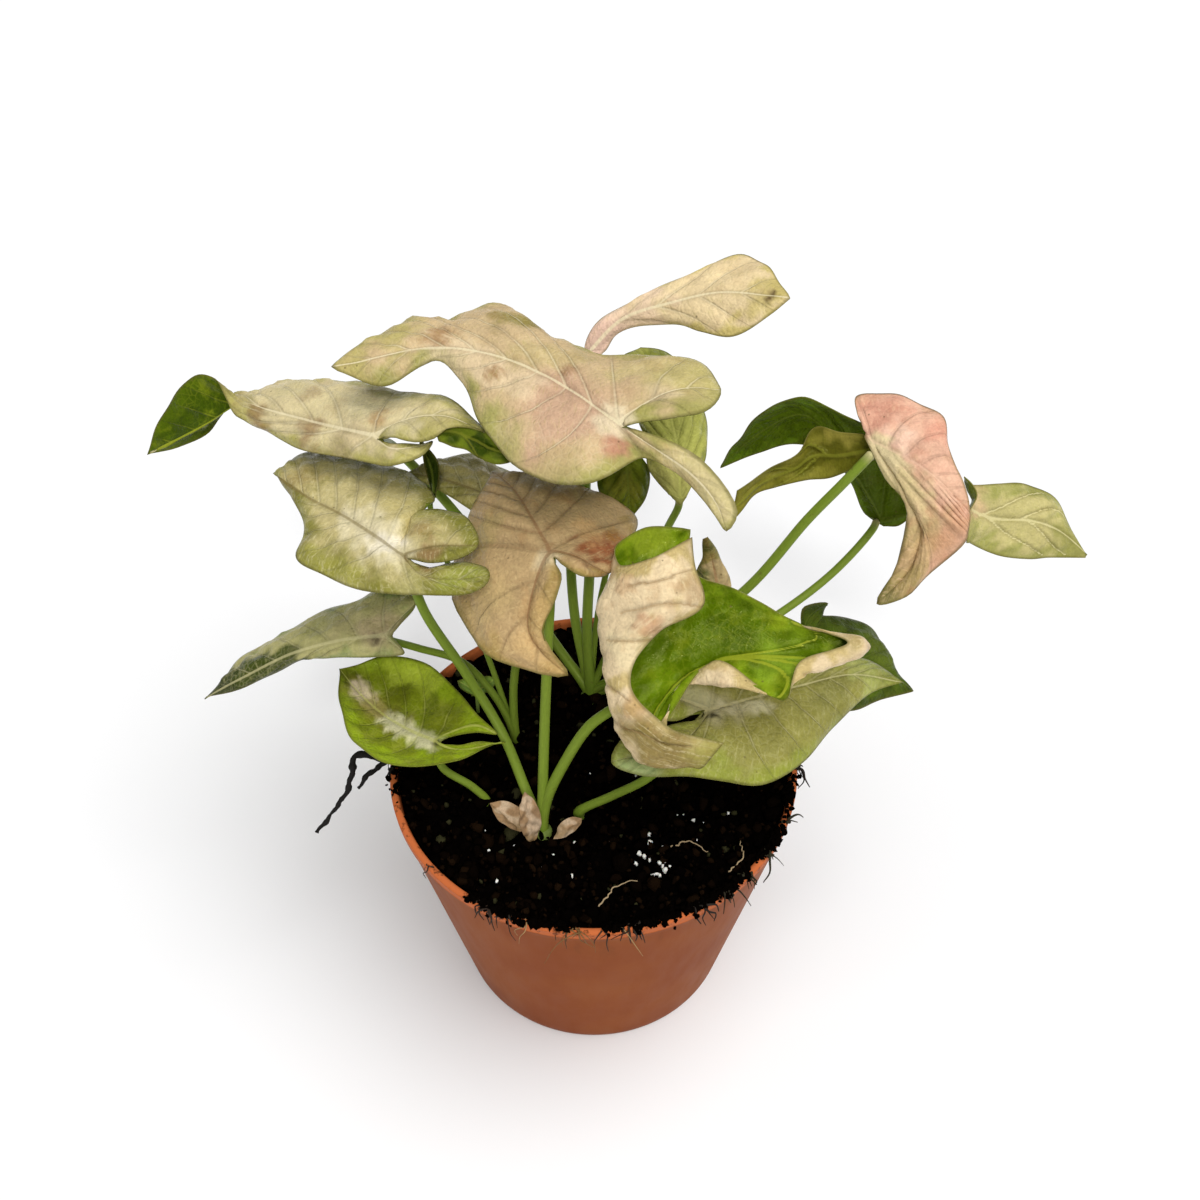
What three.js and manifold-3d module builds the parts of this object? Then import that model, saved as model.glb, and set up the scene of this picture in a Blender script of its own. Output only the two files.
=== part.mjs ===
// Arrowhead plant (Syngonium) in its nursery pot. Millimetres, +Z up, pot base on z = 0.
import * as THREE from 'three';
import { mergeVertices } from 'three/addons/utils/BufferGeometryUtils.js';
import Module from 'manifold-3d';

// ---- driving dimensions ----
const POT_HEIGHT = 85.5;
const POT_TOP_RADIUS = 60;
const POT_BASE_RADIUS = 44;
const POT_WALL = 1.3;
const POT_FLOOR = 1.6;
const RIM_HEIGHT = 2.6;
const RIM_WALL = 2.1;
const POT_SIDES = 64;
const DRAIN_HOLES = 6;
const DRAIN_RADIUS = 3.5;
const DRAIN_CIRCLE = 29;
const DRAIN_SIDES = 12;
const GAP = 0.4; // between pieces that touch
const SOIL_LEVEL = 80.4; // at the middle
const SOIL_EDGE_RISE = 3.4; // the soil banks up to the rim
const SOIL_LUMP = 0.9;
const SOIL_SIDES = 40;
const SOIL_RINGS = 7;
const HOLE_DEPTH = 9; // how far each shoot stands in the soil
const CROWN_SIDES = 14;
const CROWN_TAPER = 3; // length of its rounded top
const LIP_STEPS = 4; // facets round the rolled lip
const BASE_CHAMFER = 1.2;
const BANK_HEIGHT = 2; // from the soil's edge up to where it meets the rim
const BLADE_THICKNESS = 0.8;
const BLADE_STEPS = { lobe: 3, length: 8, across: 3 };
const SCALE_STEPS = { lobe: 1, length: 4, across: 2 }; // sheaths and leaflets
const SINUS_DEPTH = 2; // the lobes join this far behind the petiole
const PETIOLE_SIDES = 8;
const PETIOLE_STEPS = 10;
const PETIOLE_END_GAP = 2.5; // blade middle to petiole end

// ---- colours (colour, roughness) ----
const FINISH = {
  cream: [0xd8c49a, 0.5],
  mottled: [0xbcbd7c, 0.5],
  greyGreen: [0xb0b490, 0.55],
  peach: [0xd2ac84, 0.55],
  pink: [0xd09a80, 0.55],
  brightGreen: [0x8cb03a, 0.45],
  darkGreen: [0x3c6420, 0.45],
  petiole: [0x6d8f30, 0.5],
  sheath: [0xc8a892, 0.7],
  root: [0x2a1c12, 0.9],
  soil: [0x15100b, 1.0],
  terracotta: [0xa8623c, 0.5],
};

const wasm = await Module();
wasm.setup();

// ---- solids ----
function toSolid(geometry) {
  const plain = geometry.clone();
  plain.deleteAttribute('normal');
  plain.deleteAttribute('uv');
  const merged = mergeVertices(plain, 1e-4);
  const vertProperties = new Float32Array(merged.attributes.position.array);
  const triVerts = new Uint32Array(merged.index.array);
  return new wasm.Manifold(new wasm.Mesh({ numProp: 3, vertProperties, triVerts }));
}

function toGeometry(solid) {
  const mesh = solid.getMesh();
  const geometry = new THREE.BufferGeometry();
  geometry.setAttribute('position', new THREE.BufferAttribute(new Float32Array(mesh.vertProperties), 3));
  geometry.setIndex(new THREE.BufferAttribute(new Uint32Array(mesh.triVerts), 1));
  return geometry;
}

function joined(geometries) {
  return toGeometry(geometries.map(toSolid).reduce((whole, next) => whole.add(next)));
}

// ---- smooth path through hand-set points, by centripetal spacing ----
function smoothPath(points) {
  const knots = [0];
  for (let i = 1; i < points.length; i += 1) {
    knots.push(knots[i - 1] + Math.sqrt(points[i].distanceTo(points[i - 1])));
  }
  const total = knots[knots.length - 1];
  const at = knots.map((knot) => knot / total);
  const last = points.length - 1;
  const slope = (i, j) => points[j].clone().sub(points[i]).divideScalar(at[j] - at[i]);
  const tangents = points.map((_, i) => {
    if (i === 0) return slope(0, 1);
    if (i === last) return slope(last - 1, last);
    const before = at[i] - at[i - 1];
    const after = at[i + 1] - at[i];
    return slope(i - 1, i).multiplyScalar(after).addScaledVector(slope(i, i + 1), before)
      .divideScalar(before + after);
  });
  const point = (t) => {
    let k = 0;
    while (k < last - 1 && t >= at[k + 1]) k += 1;
    const span = at[k + 1] - at[k];
    const u = (t - at[k]) / span;
    return new THREE.Vector3()
      .addScaledVector(points[k], 2 * u ** 3 - 3 * u ** 2 + 1)
      .addScaledVector(tangents[k], (u ** 3 - 2 * u ** 2 + u) * span)
      .addScaledVector(points[k + 1], 3 * u ** 2 - 2 * u ** 3)
      .addScaledVector(tangents[k + 1], (u ** 3 - u ** 2) * span);
  };
  return { at, point };
}

// ---- a leaf's own frame: along its midrib, across to its left, and up off its upper face ----
function leafFrame([x, y, z], [heading, pitch, roll]) {
  const [h, p, r] = [heading, pitch, roll].map(THREE.MathUtils.degToRad);
  const along = new THREE.Vector3(Math.cos(p) * Math.cos(h), Math.cos(p) * Math.sin(h), Math.sin(p));
  const level = new THREE.Vector3(-Math.sin(h), Math.cos(h), 0);
  const upright = new THREE.Vector3().crossVectors(along, level);
  const across = level.clone().multiplyScalar(Math.cos(r)).addScaledVector(upright, Math.sin(r));
  const up = upright.multiplyScalar(Math.cos(r)).addScaledVector(level, -Math.sin(r));
  const hub = new THREE.Vector3(x, y, z);
  const place = ([a, b, c]) => hub.clone()
    .addScaledVector(along, a).addScaledVector(across, b).addScaledVector(up, c);
  return { hub, up, place };
}

// ---- a thin sheet of quads, with alike triangles on both faces and a rim between them ----
class Sheet {
  constructor() {
    this.points = [];
    this.triangles = [];
    this.lookup = new Map();
  }

  index(point) {
    const key = point.toArray().map((value) => Math.round(value * 1000)).join();
    if (!this.lookup.has(key)) {
      this.lookup.set(key, this.points.length);
      this.points.push(point);
    }
    return this.lookup.get(key);
  }

  // rows of points; faceUp turns the triangles so that the upper face looks outward
  addGrid(rows, faceUp) {
    const ids = rows.map((row) => row.map((point) => this.index(point)));
    for (let i = 0; i + 1 < ids.length; i += 1) {
      for (let j = 0; j + 1 < ids[i].length; j += 1) {
        const [a, b, c, d] = [ids[i][j], ids[i][j + 1], ids[i + 1][j + 1], ids[i + 1][j]];
        for (const [p, q, r] of [[a, b, c], [a, c, d]]) {
          if (p !== q && q !== r && r !== p) this.triangles.push(faceUp ? [p, q, r] : [p, r, q]);
        }
      }
    }
  }

  thicken(thickness) {
    const normals = this.points.map(() => new THREE.Vector3());
    for (const triangle of this.triangles) {
      const [p, q, r] = triangle.map((id) => this.points[id]);
      const normal = q.clone().sub(p).cross(r.clone().sub(p));
      triangle.forEach((id) => normals[id].add(normal));
    }
    const count = this.points.length;
    const positions = [];
    for (const side of [1, -1]) {
      this.points.forEach((point, i) => {
        const offset = normals[i].clone().normalize().multiplyScalar(side * thickness / 2);
        positions.push(...point.clone().add(offset).toArray());
      });
    }
    const edges = new Set(this.triangles.flatMap(([p, q, r]) => [`${p},${q}`, `${q},${r}`, `${r},${p}`]));
    const indices = [];
    for (const [p, q, r] of this.triangles) {
      indices.push(p, q, r, p + count, r + count, q + count);
    }
    for (const edge of edges) {
      const [p, q] = edge.split(',').map(Number);
      if (!edges.has(`${q},${p}`)) indices.push(q, p, p + count, q, p + count, q + count);
    }
    const geometry = new THREE.BufferGeometry();
    geometry.setAttribute('position', new THREE.Float32BufferAttribute(positions, 3));
    geometry.setIndex(indices);
    return geometry;
  }
}

// One side of a blade: from the sinus behind the petiole, out to the lobe's tip, back to the
// shoulder, then on to the leaf's tip. Each ruling runs from a rib to the margin.
function bladeSide(place, leaf, side, sign) {
  const { margin, lobe, shoulder, rib = [], arch } = leaf[side];
  const steps = leaf.steps ?? BLADE_STEPS;
  const hub = place([0, 0, 0]);
  const spine = [hub, ...leaf.midrib.map(place), place(leaf.tip)];
  const sinus = hub.clone().addScaledVector(spine[1].clone().sub(hub).normalize(), -SINUS_DEPTH);
  const edge = smoothPath([sinus, ...margin.map(place), place(leaf.tip)]);
  const lobeRib = smoothPath([hub, ...rib.map(place), place(margin[lobe])]);
  const midrib = smoothPath(spine);
  const [atLobe, atShoulder] = [edge.at[lobe + 1], edge.at[shoulder + 1]];
  const stations = [];
  for (let i = 0; i <= steps.lobe; i += 1) {
    const u = i / steps.lobe;
    stations.push([lobeRib.point(u), u * atLobe]);
  }
  for (let i = 1; i <= steps.lobe; i += 1) {
    const u = i / steps.lobe;
    stations.push([lobeRib.point(1 - u), atLobe + u * (atShoulder - atLobe)]);
  }
  for (let i = 1; i <= steps.length; i += 1) {
    const u = i / steps.length;
    stations.push([midrib.point(u), atShoulder + u * (1 - atShoulder)]);
  }
  const nudge = 1e-3;
  return stations.map(([root, t], i) => {
    const end = edge.point(t);
    const ruling = end.clone().sub(root);
    const run = edge.point(Math.min(t + nudge, 1)).sub(edge.point(Math.max(t - nudge, 0)));
    const bulge = run.cross(ruling).normalize().multiplyScalar(i === 0 ? 0 : sign * arch * ruling.length());
    return Array.from({ length: steps.across + 1 }, (_, j) => {
      const v = j / steps.across;
      return root.clone().addScaledVector(ruling, v).addScaledVector(bulge, 4 * v * (1 - v));
    });
  });
}

function leafBlade(leaf) {
  const { place } = leafFrame(leaf.hub, leaf.turn);
  const sheet = new Sheet();
  sheet.addGrid(bladeSide(place, leaf, 'left', 1), false);
  sheet.addGrid(bladeSide(place, leaf, 'right', -1), true);
  return sheet.thicken(BLADE_THICKNESS);
}

// a blade too curled for ribs: a smooth sheet through rows of points
function curledBlade({ hub, turn, rows, faceUp, stepsAlong, stepsAcross }) {
  const { place } = leafFrame(hub, turn);
  const spread = (points, steps) => {
    const path = smoothPath(points);
    return Array.from({ length: steps + 1 }, (_, i) => path.point(i / steps));
  };
  const fine = rows.map((row) => spread(row.map(place), stepsAcross));
  const columns = fine[0].map((_, i) => spread(fine.map((row) => row[i]), stepsAlong));
  const sheet = new Sheet();
  sheet.addGrid(columns, faceUp);
  return sheet.thicken(BLADE_THICKNESS);
}

// ---- leaves: hub and turn place the leaf; points are [along, across, up] in its own frame ----
const LEAVES = {
  // the big cream leaf on top, its front lobe hanging in a narrow curl
  leaf_top: {
    finish: 'cream', hub: [6, 18, 190], turn: [153, -5, -10], tip: [88.5, 0, -0.5],
    midrib: [[21, -10, 0], [43, -14, 2], [62.5, -12, 2]],
    left: {
      margin: [[-6.5, 0.5, 0], [-23, 2.5, -3], [-35, 9.5, -11.5], [-33.5, 13.5, -14.5], [-30.5, 12, -12.5],
        [-26, 9, -10], [-16.5, 5, -6],
        [-9, 4.5, -5], [1, 16.5, -6], [19.5, 16, -7], [37.5, 5.5, -5], [51, -6.5, -2],
        [60, -10.5, 0], [72.5, -0.5, -4]],
      lobe: 3, shoulder: 7, rib: [[-22.5, 6.5, -5], [-30, 9.5, -10.5]], arch: 0.07,
    },
    right: {
      margin: [[-6, -1.5, 1], [-13.5, -5, 1], [-19.5, -10, 0], [-18.5, -22.5, -3], [-4, -35.5, -6],
        [18.5, -32, -7], [38, -35, -7], [61.5, -43, -5], [72, -31, -4.5], [82, -28.5, -3.5],
        [87, -11.5, -1.5]],
      lobe: 3, shoulder: 5, rib: [[-8.5, -15, 0]], arch: 0.09,
    },
  },
  // the long leaf at the left, whose tip rolls over and shows its green underside
  leaf_left: {
    finish: 'cream', hub: [-61, 45, 168], turn: [160, -17, -12], tip: [86.5, 0.5, -0.5],
    midrib: [[21, -5.5, 1], [41.5, -11, 3], [55, -14.5, 3.5], [63, -9, 2.5], [72.5, -4.5, 1.5]],
    left: {
      margin: [[-8, 2.2, -1.8], [-14, 1, -2.5], [-18.5, 0.5, -2.8], [-16.5, 5.5, -3],
        [-10.5, 9, -3], [11, 3.5, -4], [28, 0, -3], [48, -9.5, -1.5], [51.5, -8, 4.5],
        [56, -13, 8.5], [62.5, -19, 11.5], [68, -19.5, 12.5], [76.5, -15, 9.5], [83.5, -8.5, 4.5]],
      lobe: 2, shoulder: 5, rib: [[-9, 4.5, -1.5]], arch: 0.05,
    },
    right: {
      margin: [[-8, 1.8, 0.4], [-12, 2.8, 0], [-16.5, 3, -0.5], [-21, 2, -0.8], [-24.5, -0.5, 0],
        [-28.5, -1.5, 0], [-35, 0, -2], [-20.5, -13.5, -1.5], [2.5, -22, -3], [28.5, -31, -4],
        [53, -33.5, -4.5], [58.5, -24.5, -1.5], [66, -25, -0.5], [67.5, -18, -1.5],
        [69, -9.5, -2.5], [79.5, -2.5, -1.5]],
      lobe: 6, shoulder: 8, rib: [[-11, -5, 1], [-23, -5.5, 0]], arch: 0.1,
    },
  },
  // the mottled leaf under it, torn at its back margin
  leaf_mottled: {
    finish: 'mottled', hub: [-50, 9, 155], turn: [134, -7, -8], tip: [66.5, -0.5, 0],
    midrib: [[13.5, 0, 1], [28.5, 0, 1], [43, 1, 1]],
    left: {
      margin: [[-6, -1.5, -1.5], [-10.5, -6.5, -2.4], [-16, -9.8, -2.2], [-22, -10.5, -1.4],
        [-26.5, -8.5, -1], [-28, -5.5, -1], [-26, -2, -1.5], [-12, 6, -3], [3, 13, -4],
        [18, 15.5, -4], [29, 16, -4], [35, 10, -3], [46.5, 3.5, -1], [56.5, 0.5, -1]],
      lobe: 4, shoulder: 7, rib: [[-10, 1.5, -1.5], [-20, -4, -1.5]], arch: 0.08,
    },
    right: {
      margin: [[-9.5, -2.5, 1], [-14.5, -8, 0], [-14.5, -14.5, 0], [-4, -20, -1], [9, -19.5, -2],
        [15, -15.5, -1], [15, -22, -3], [29, -26.5, -4], [46.5, -26.5, -5], [66, -21, -5],
        [71.5, -12, -3]],
      lobe: 2, shoulder: 5, rib: [[-6, -7.5, 0.5], [-11, -11.5, 0]], arch: 0.08,
    },
  },
  // a dark young leaf still folded, standing behind the mottled one
  leaf_spear: {
    finish: 'darkGreen', hub: [-46, 44, 148], turn: [-109, 80, 0], tip: [21, 0, 0],
    midrib: [[11, 1, 0.5]],
    left: {
      margin: [[0.5, 1, 0], [6, 2, 0.5], [13.5, 3, 1], [18.5, 1, 0.5]],
      lobe: 0, shoulder: 1, arch: 0.1,
    },
    right: {
      margin: [[0.5, -1, 0], [6, -1, 0.5], [12, -1, 0.5]],
      lobe: 0, shoulder: 1, arch: 0.1,
    },
  },
  leaf_lower_left: {
    finish: 'greyGreen', hub: [-59, 13, 122], turn: [-178, -23, -10], tip: [61.5, 0, 0],
    midrib: [[13.5, -2, 2], [29.5, -2.5, 3], [45.5, -1, 2]],
    left: {
      margin: [[-3.5, 3.5, 0], [-5.5, 7.5, -1], [4.5, 4, -3], [24.5, -3.5, -3], [35.5, -4, -3],
        [49.5, 0, -1]],
      lobe: 1, shoulder: 2, arch: 0.06,
    },
    right: {
      margin: [[-5, -1, 1], [-10.5, -7, 1], [-5, -14, 0], [-0.5, -17, 0], [10.5, -19, -2],
        [31, -18.5, -3], [48, -13.5, -2]],
      lobe: 1, shoulder: 3, arch: 0.08,
    },
  },
  // the small bright leaf low on the left, dished along its midrib
  leaf_small_green: {
    finish: 'brightGreen', hub: [-45, -8, 101], turn: [137, -3, 0], tip: [44, 0, 0.5],
    midrib: [[10.5, 1, -2], [22, 1.5, -3], [34, 1, -2]],
    left: {
      margin: [[-5.5, -2.5, 0], [-11, -8, 1], [-15.5, -13, -1], [-13, -6.5, 1], [-11, 2, 1],
        [-7.5, 7.5, 1], [3, 15, 1], [16, 15.5, 1], [29.5, 10, 1]],
      lobe: 2, shoulder: 5, rib: [[-6, -1, 0], [-12, -7, 0.5]], arch: -0.1,
    },
    right: {
      margin: [[-2.5, -4, 0], [-7, -10, 0], [-12, -13.5, 0], [-3.5, -14, 2], [8, -16, 3],
        [24, -17.5, 3], [36.5, -11, 2.5], [40.5, -4, 1.5]],
      lobe: 2, shoulder: 4, rib: [[-1, -5, 0], [-5.5, -11.5, 1]], arch: -0.1,
    },
  },
  // the peach leaf in the middle: tip away, both lobes toward the front, one hanging down
  leaf_centre: {
    finish: 'peach', hub: [-11, 5, 160], turn: [115, -3, 0], tip: [42, 0, 0],
    midrib: [[8.5, 0.5, 3], [24.5, -0.5, 3]],
    left: {
      margin: [[-10.5, 1.5, -1], [-13, 4, -5], [-14.5, 9, -13], [-22, 5.5, -23], [-15, 16, -22],
        [-8.5, 22.5, -20], [1.5, 23, -20], [16, 23, -18], [30, 16, -14], [34, 11, -8],
        [36, 6, -3]],
      lobe: 3, shoulder: 8, rib: [[-6, 7, -6], [-11.5, 11.5, -15]], arch: 0.1,
    },
    right: {
      margin: [[-7, -0.5, 1], [-13, -2.5, 0], [-8.5, -12.5, -6], [4, -24.5, -9], [12, -31, -8],
        [24.5, -25.5, -4], [33, -12.5, -1]],
      lobe: 2, shoulder: 4, rib: [[-6, -5, 0], [-9, -9, -3]], arch: 0.08,
    },
  },
  // the narrow leaf that stands out behind the top one
  leaf_flag: {
    finish: 'cream', hub: [-1, 65, 183], turn: [-8, 20, 15], tip: [57.5, 0, 0.5],
    midrib: [[10.5, 5.5, 3.5], [25.5, 7, 3.5], [39, 7, 2.5]],
    left: {
      margin: [[-1.5, 1.5, 0], [0, 5, 0.5], [4, 9, 1.5], [15, 13, 2.5], [25, 17, 2.5],
        [34.5, 20, 1.5], [44, 24.5, -0.5], [51.5, 16, -0.5]],
      lobe: 0, shoulder: 1, arch: 0.05,
    },
    right: {
      margin: [[1.5, -1.5, -1], [4, 0, -1.5], [8.5, 4, -0.5], [21, 5.5, -1.5], [31.5, -0.5, -2.5],
        [41, -4.5, -3.5], [51.5, -2, -1.5]],
      lobe: 0, shoulder: 1, arch: 0.06,
    },
  },
  leaf_behind: {
    finish: 'greyGreen', hub: [-13, 30, 150], turn: [150, -2, 5], tip: [50, 0, 0],
    midrib: [[15, 1, 2], [33.5, -0.5, 2]],
    left: {
      margin: [[-5.5, 2, 0], [0.5, 8, -2], [10, 8.5, -2], [22.5, 5, -1], [35, 2.5, 0]],
      lobe: 0, shoulder: 1, arch: 0.05,
    },
    right: {
      margin: [[2, -10, -1], [12, -18, -3], [30, -22.5, -4], [41, -26, -4], [47, -17, -2]],
      lobe: 0, shoulder: 1, arch: 0.05,
    },
  },
  leaf_upright: {
    finish: 'brightGreen', hub: [24, 32, 156], turn: [102, 22, 0], tip: [52.5, 0, 0.5],
    midrib: [[13.5, -2.5, 1], [34, -3, 1]],
    left: {
      margin: [[1.5, 2.5, 0], [11.5, 6, -2], [26, 4.5, -3], [41, 7, -1.5], [51, 6, -0.5]],
      lobe: 0, shoulder: 1, arch: 0.1,
    },
    right: {
      margin: [[0.5, -2, 0], [12, -10, -2], [25, -14, -3], [38.5, -12, -1.5], [50, -8, -0.5]],
      lobe: 0, shoulder: 1, arch: 0.1,
    },
  },
  leaf_hanging: {
    finish: 'darkGreen', hub: [9, 49, 160], turn: [-77, -51, 4], tip: [19, 0, -7],
    midrib: [[8, -0.5, 1]],
    left: {
      margin: [[0, 2, 0], [6, 6, -1], [13.5, 4.5, -3]],
      lobe: 0, shoulder: 1, arch: 0.08,
    },
    right: {
      margin: [[0, -2.5, 0], [5.5, -8.5, -1], [13.5, -7.5, -3]],
      lobe: 0, shoulder: 1, arch: 0.08,
    },
  },
  // the pink leaf at the right, up to its fold: one lobe hangs toward the front; its tip and its other
  // lobe are sheets of their own
  leaf_pink: {
    finish: 'pink', hub: [75, 37, 172], turn: [-17, -23, 10], tip: [30, -12.5, 5.5],
    midrib: [[15.5, -7.5, 6.5]],
    left: {
      margin: [[-2, 2, 0], [-6, 6.5, 0], [-7.5, 12.5, -0.5], [1.5, 17.5, 3.5], [8.5, 16.5, 6],
        [14.5, 12.5, 8.5], [18, 4, 8], [21.5, -3, 9], [24, -6, 9], [27.5, -9.5, 7.5]],
      lobe: 0, shoulder: 2, arch: 0.06,
    },
    right: {
      margin: [[7.5, -9, -1], [16, -13.5, -2], [21.5, -24, -11.5], [20.5, -36, -16.5],
        [26, -32, -13.5], [30, -23, -8.5], [32.5, -17.5, 1], [31.5, -15.5, 3]],
      lobe: 3, shoulder: 6, rib: [[9, -7.5, 1], [20.5, -14, -2], [25, -24, -10.5]], arch: 0.1,
    },
  },
  leaf_dark_back: {
    finish: 'darkGreen', hub: [86, 49, 135], turn: [166, 11, 80], tip: [50.5, 0.5, 0.5],
    midrib: [[17, 18.5, 0.5], [32.5, 29.5, 2.5], [43.5, 16.5, 2.5]],
    left: {
      margin: [[-5.5, 1, 0], [-7, 7, 0], [-1, 25.5, -2], [11, 35.5, -1.5], [22.5, 34.5, 0.5],
        [35.5, 36.5, 0.5], [44, 28, 0.5], [48.5, 11.5, 0.5]],
      lobe: 1, shoulder: 3, arch: 0.1,
    },
    right: {
      margin: [[4.5, -0.5, 0.5], [13.5, 11.5, 0.5], [22, 19, 0.5], [32, 18.5, 1.5], [41, 10.5, 1.5]],
      lobe: 0, shoulder: 1, arch: 0.05,
    },
  },
  // the flat grey-green leaf at the front right
  leaf_front: {
    finish: 'greyGreen', hub: [32, -12, 118], turn: [19, -9, 0], tip: [62, 0.5, -0.5],
    midrib: [[14.5, 1.5, 1], [27.5, 2.5, 2], [45, 4, 2]],
    left: {
      margin: [[-4, 0.5, -1], [-11, 0.5, -2], [-16.5, 4, -3], [-18.5, 12, -1.5], [-16, 18, 0],
        [-7, 24.5, 1], [13, 24.5, 2], [31, 18, 2], [46, 12, 2], [56.5, 9.5, 0.5]],
      lobe: 3, shoulder: 6, rib: [[-5, 5, -0.5], [-12, 9, -1]], arch: 0.06,
    },
    right: {
      margin: [[-4.5, -1.5, 0], [-12, -2, 0], [-22, -3.5, -1.2], [-26.5, -3.5, -1.2],
        [-32, -9.5, -3], [-26.5, -15.5, -3], [-13.5, -18.5, -3], [-5, -21, -4], [5, -23.5, -5],
        [20, -18.5, -5], [35, -9, -4], [49.5, -1, -2]],
      lobe: 4, shoulder: 6, rib: [[-10, -8, -0.5], [-21, -10, -1.5]], arch: 0.1,
    },
  },
  // the dark leaf under it, with a decaying, curled back lobe
  leaf_dark_side: {
    finish: 'darkGreen', hub: [64, 29, 98], turn: [-4, -21, 5], tip: [39, 0.5, 0],
    midrib: [[12.5, 4, 2], [26.5, 4, 2]],
    left: {
      margin: [[-1, 9.5, 1], [-0.5, 18, 3], [8, 22.5, 4], [5.5, 16.5, 3], [16, 20.5, 2],
        [25.5, 20, 1], [31, 12, 0]],
      lobe: 2, shoulder: 3, rib: [[0.5, 12.5, 3]], arch: 0.08,
    },
    right: {
      margin: [[-4, -8, 0], [3, -17.5, -1], [17, -14, -2], [29, -5.5, -1]],
      lobe: 0, shoulder: 1, arch: 0.08,
    },
  },
  leaf_new: {
    finish: 'peach', hub: [34, 13, 132], turn: [115, 53, -3], tip: [21, 0, 5.5],
    midrib: [[5.5, -1.5, 1], [13.5, -2, 1]],
    left: {
      margin: [[1, 2, 0], [5.5, 4, -2], [11, 2, -2], [15.5, -0.5, 1]],
      lobe: 0, shoulder: 1, arch: 0.2,
    },
    right: {
      margin: [[0, -2.5, 0], [4, -5.5, -2], [9, -6, -2], [15, -4, 1]],
      lobe: 0, shoulder: 1, arch: 0.3,
    },
  },
};

// ---- curled sheets: each row runs from the free margin, round the bend, to the far end ----
const ROLLED_LEAF = {
  hub: [34, -15, 142], turn: [0, 0, 48], faceUp: true, stepsAlong: 16, stepsAcross: 14,
  rows: [
    [[-9, 30, 4.5], [-18.5, 25, 7.5], [-27, 23, 3], [-27, 28.5, -5], [-20.5, 33, -7.5],
      [-11.5, 33, -7.5], [-8.5, 32.5, -7.5]],
    [[-8.5, 22, 6.5], [-20, 20, 9.5], [-29.5, 17.5, 3.5], [-27.5, 20.5, -6], [-21.5, 23, -8.5],
      [-12.5, 23, -8.5], [-8.5, 22.5, -7.5]],
    [[-6.5, 13, 8.5], [-18.5, 13.5, 10.5], [-32, 12, 2.5], [-27.5, 14, -7.5], [-16.5, 14, -9.5],
      [-2, 14.5, -8.5], [5, 16, -6.5]],
    [[-17.5, 6, 8.5], [-24, 4.5, 9.5], [-31.5, 3.5, 2.5], [-26, 4.5, -7.5], [-8.5, 6.5, -8.5],
      [11.5, 9.5, -6.5], [20.5, 7.5, -5.5]],
    [[-23.5, -1, 8.5], [-27, -2.5, 7.5], [-30.5, -4, 2.5], [-23, -4, -7.5], [-2, 0, -7.5],
      [36.5, 2, -1.5], [30.5, 3.5, 1.5]],
    [[-24.5, -6.5, 8.5], [-27, -8, 7.5], [-29.5, -10.5, 2.5], [-23, -9.5, -5.5], [-2.5, -2.5, -5.5],
      [22, -3.5, 2.5], [18, -1.5, 4.5]],
    [[-22, -11, 8.5], [-25, -13.5, 7.5], [-28, -16.5, 2.5], [-22, -15, -3.5], [-6.5, -5.5, -3.5],
      [11, -9.5, 4], [14, -11, 4.5]],
    [[-14.5, -17.5, 8.5], [-18, -21, 7.5], [-22, -26, 3.5], [-20.5, -20.5, -0.5], [-16.5, -13.5, -1.5],
      [-9, -5.5, -2.5], [-2.5, -1.5, -2.5]],
    [[-1.5, -21, 8.5], [-4, -24, 8.5], [-7.5, -28, 5.5], [-11.5, -25.5, 3.5], [-17, -20.5, 1.5],
      [-18, -18.5, 1], [-15, -15.5, 0.5]],
  ],
};
// the left leaf's back lobe beyond its crest, turned under so that its lower face shows
const LEFT_BACK_LOBE = {
  hub: [-61, 45, 168], turn: [0, 0, 0], faceUp: false, stepsAlong: 8, stepsAcross: 4,
  rows: [
    [[18.5, -6.2, 5.8], [19, -7, 4.5], [19.5, -7, 3.5]],
    [[22, -6.2, 7.3], [23, -7, 4.5], [23, -8, 2]],
    [[26, -7, 8.2], [26.5, -8.5, 5], [27, -9.5, 2]],
    [[29.5, -8, 8.5], [30.5, -10, 4.5], [31, -12, 1]],
    [[32.5, -9.5, 8], [33.5, -11.5, 4], [35, -14, 0.5]],
    [[36, -10.5, 6], [37.5, -12.5, 3.5], [38.5, -14, 1]],
    [[39, -11.5, 4.5], [40, -12.5, 3], [40.5, -13.5, 2]],
  ],
};
const PINK_BACK_LOBE = {
  hub: [74, 36, 171], turn: [0, 0, 48], faceUp: false, stepsAlong: 4, stepsAcross: 8,
  rows: [
    [[10, 2, 3], [-5.5, 4.5, -6], [-12.5, 6, -8], [-17, -0.5, -10], [-24.5, -5, -11],
      [-34, -11, -11]],
    [[9, 0.5, 3.5], [-5.5, -2, -9], [-12.5, -2, -12], [-17.5, -4.5, -13], [-25.5, -8, -13],
      [-34.5, -15, -12]],
    [[8, -0.5, 4], [-7.5, -7.5, -10], [-14, -8, -13], [-22.5, -10, -14], [-28, -12, -14],
      [-34, -18.5, -12]],
  ],
};
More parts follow.
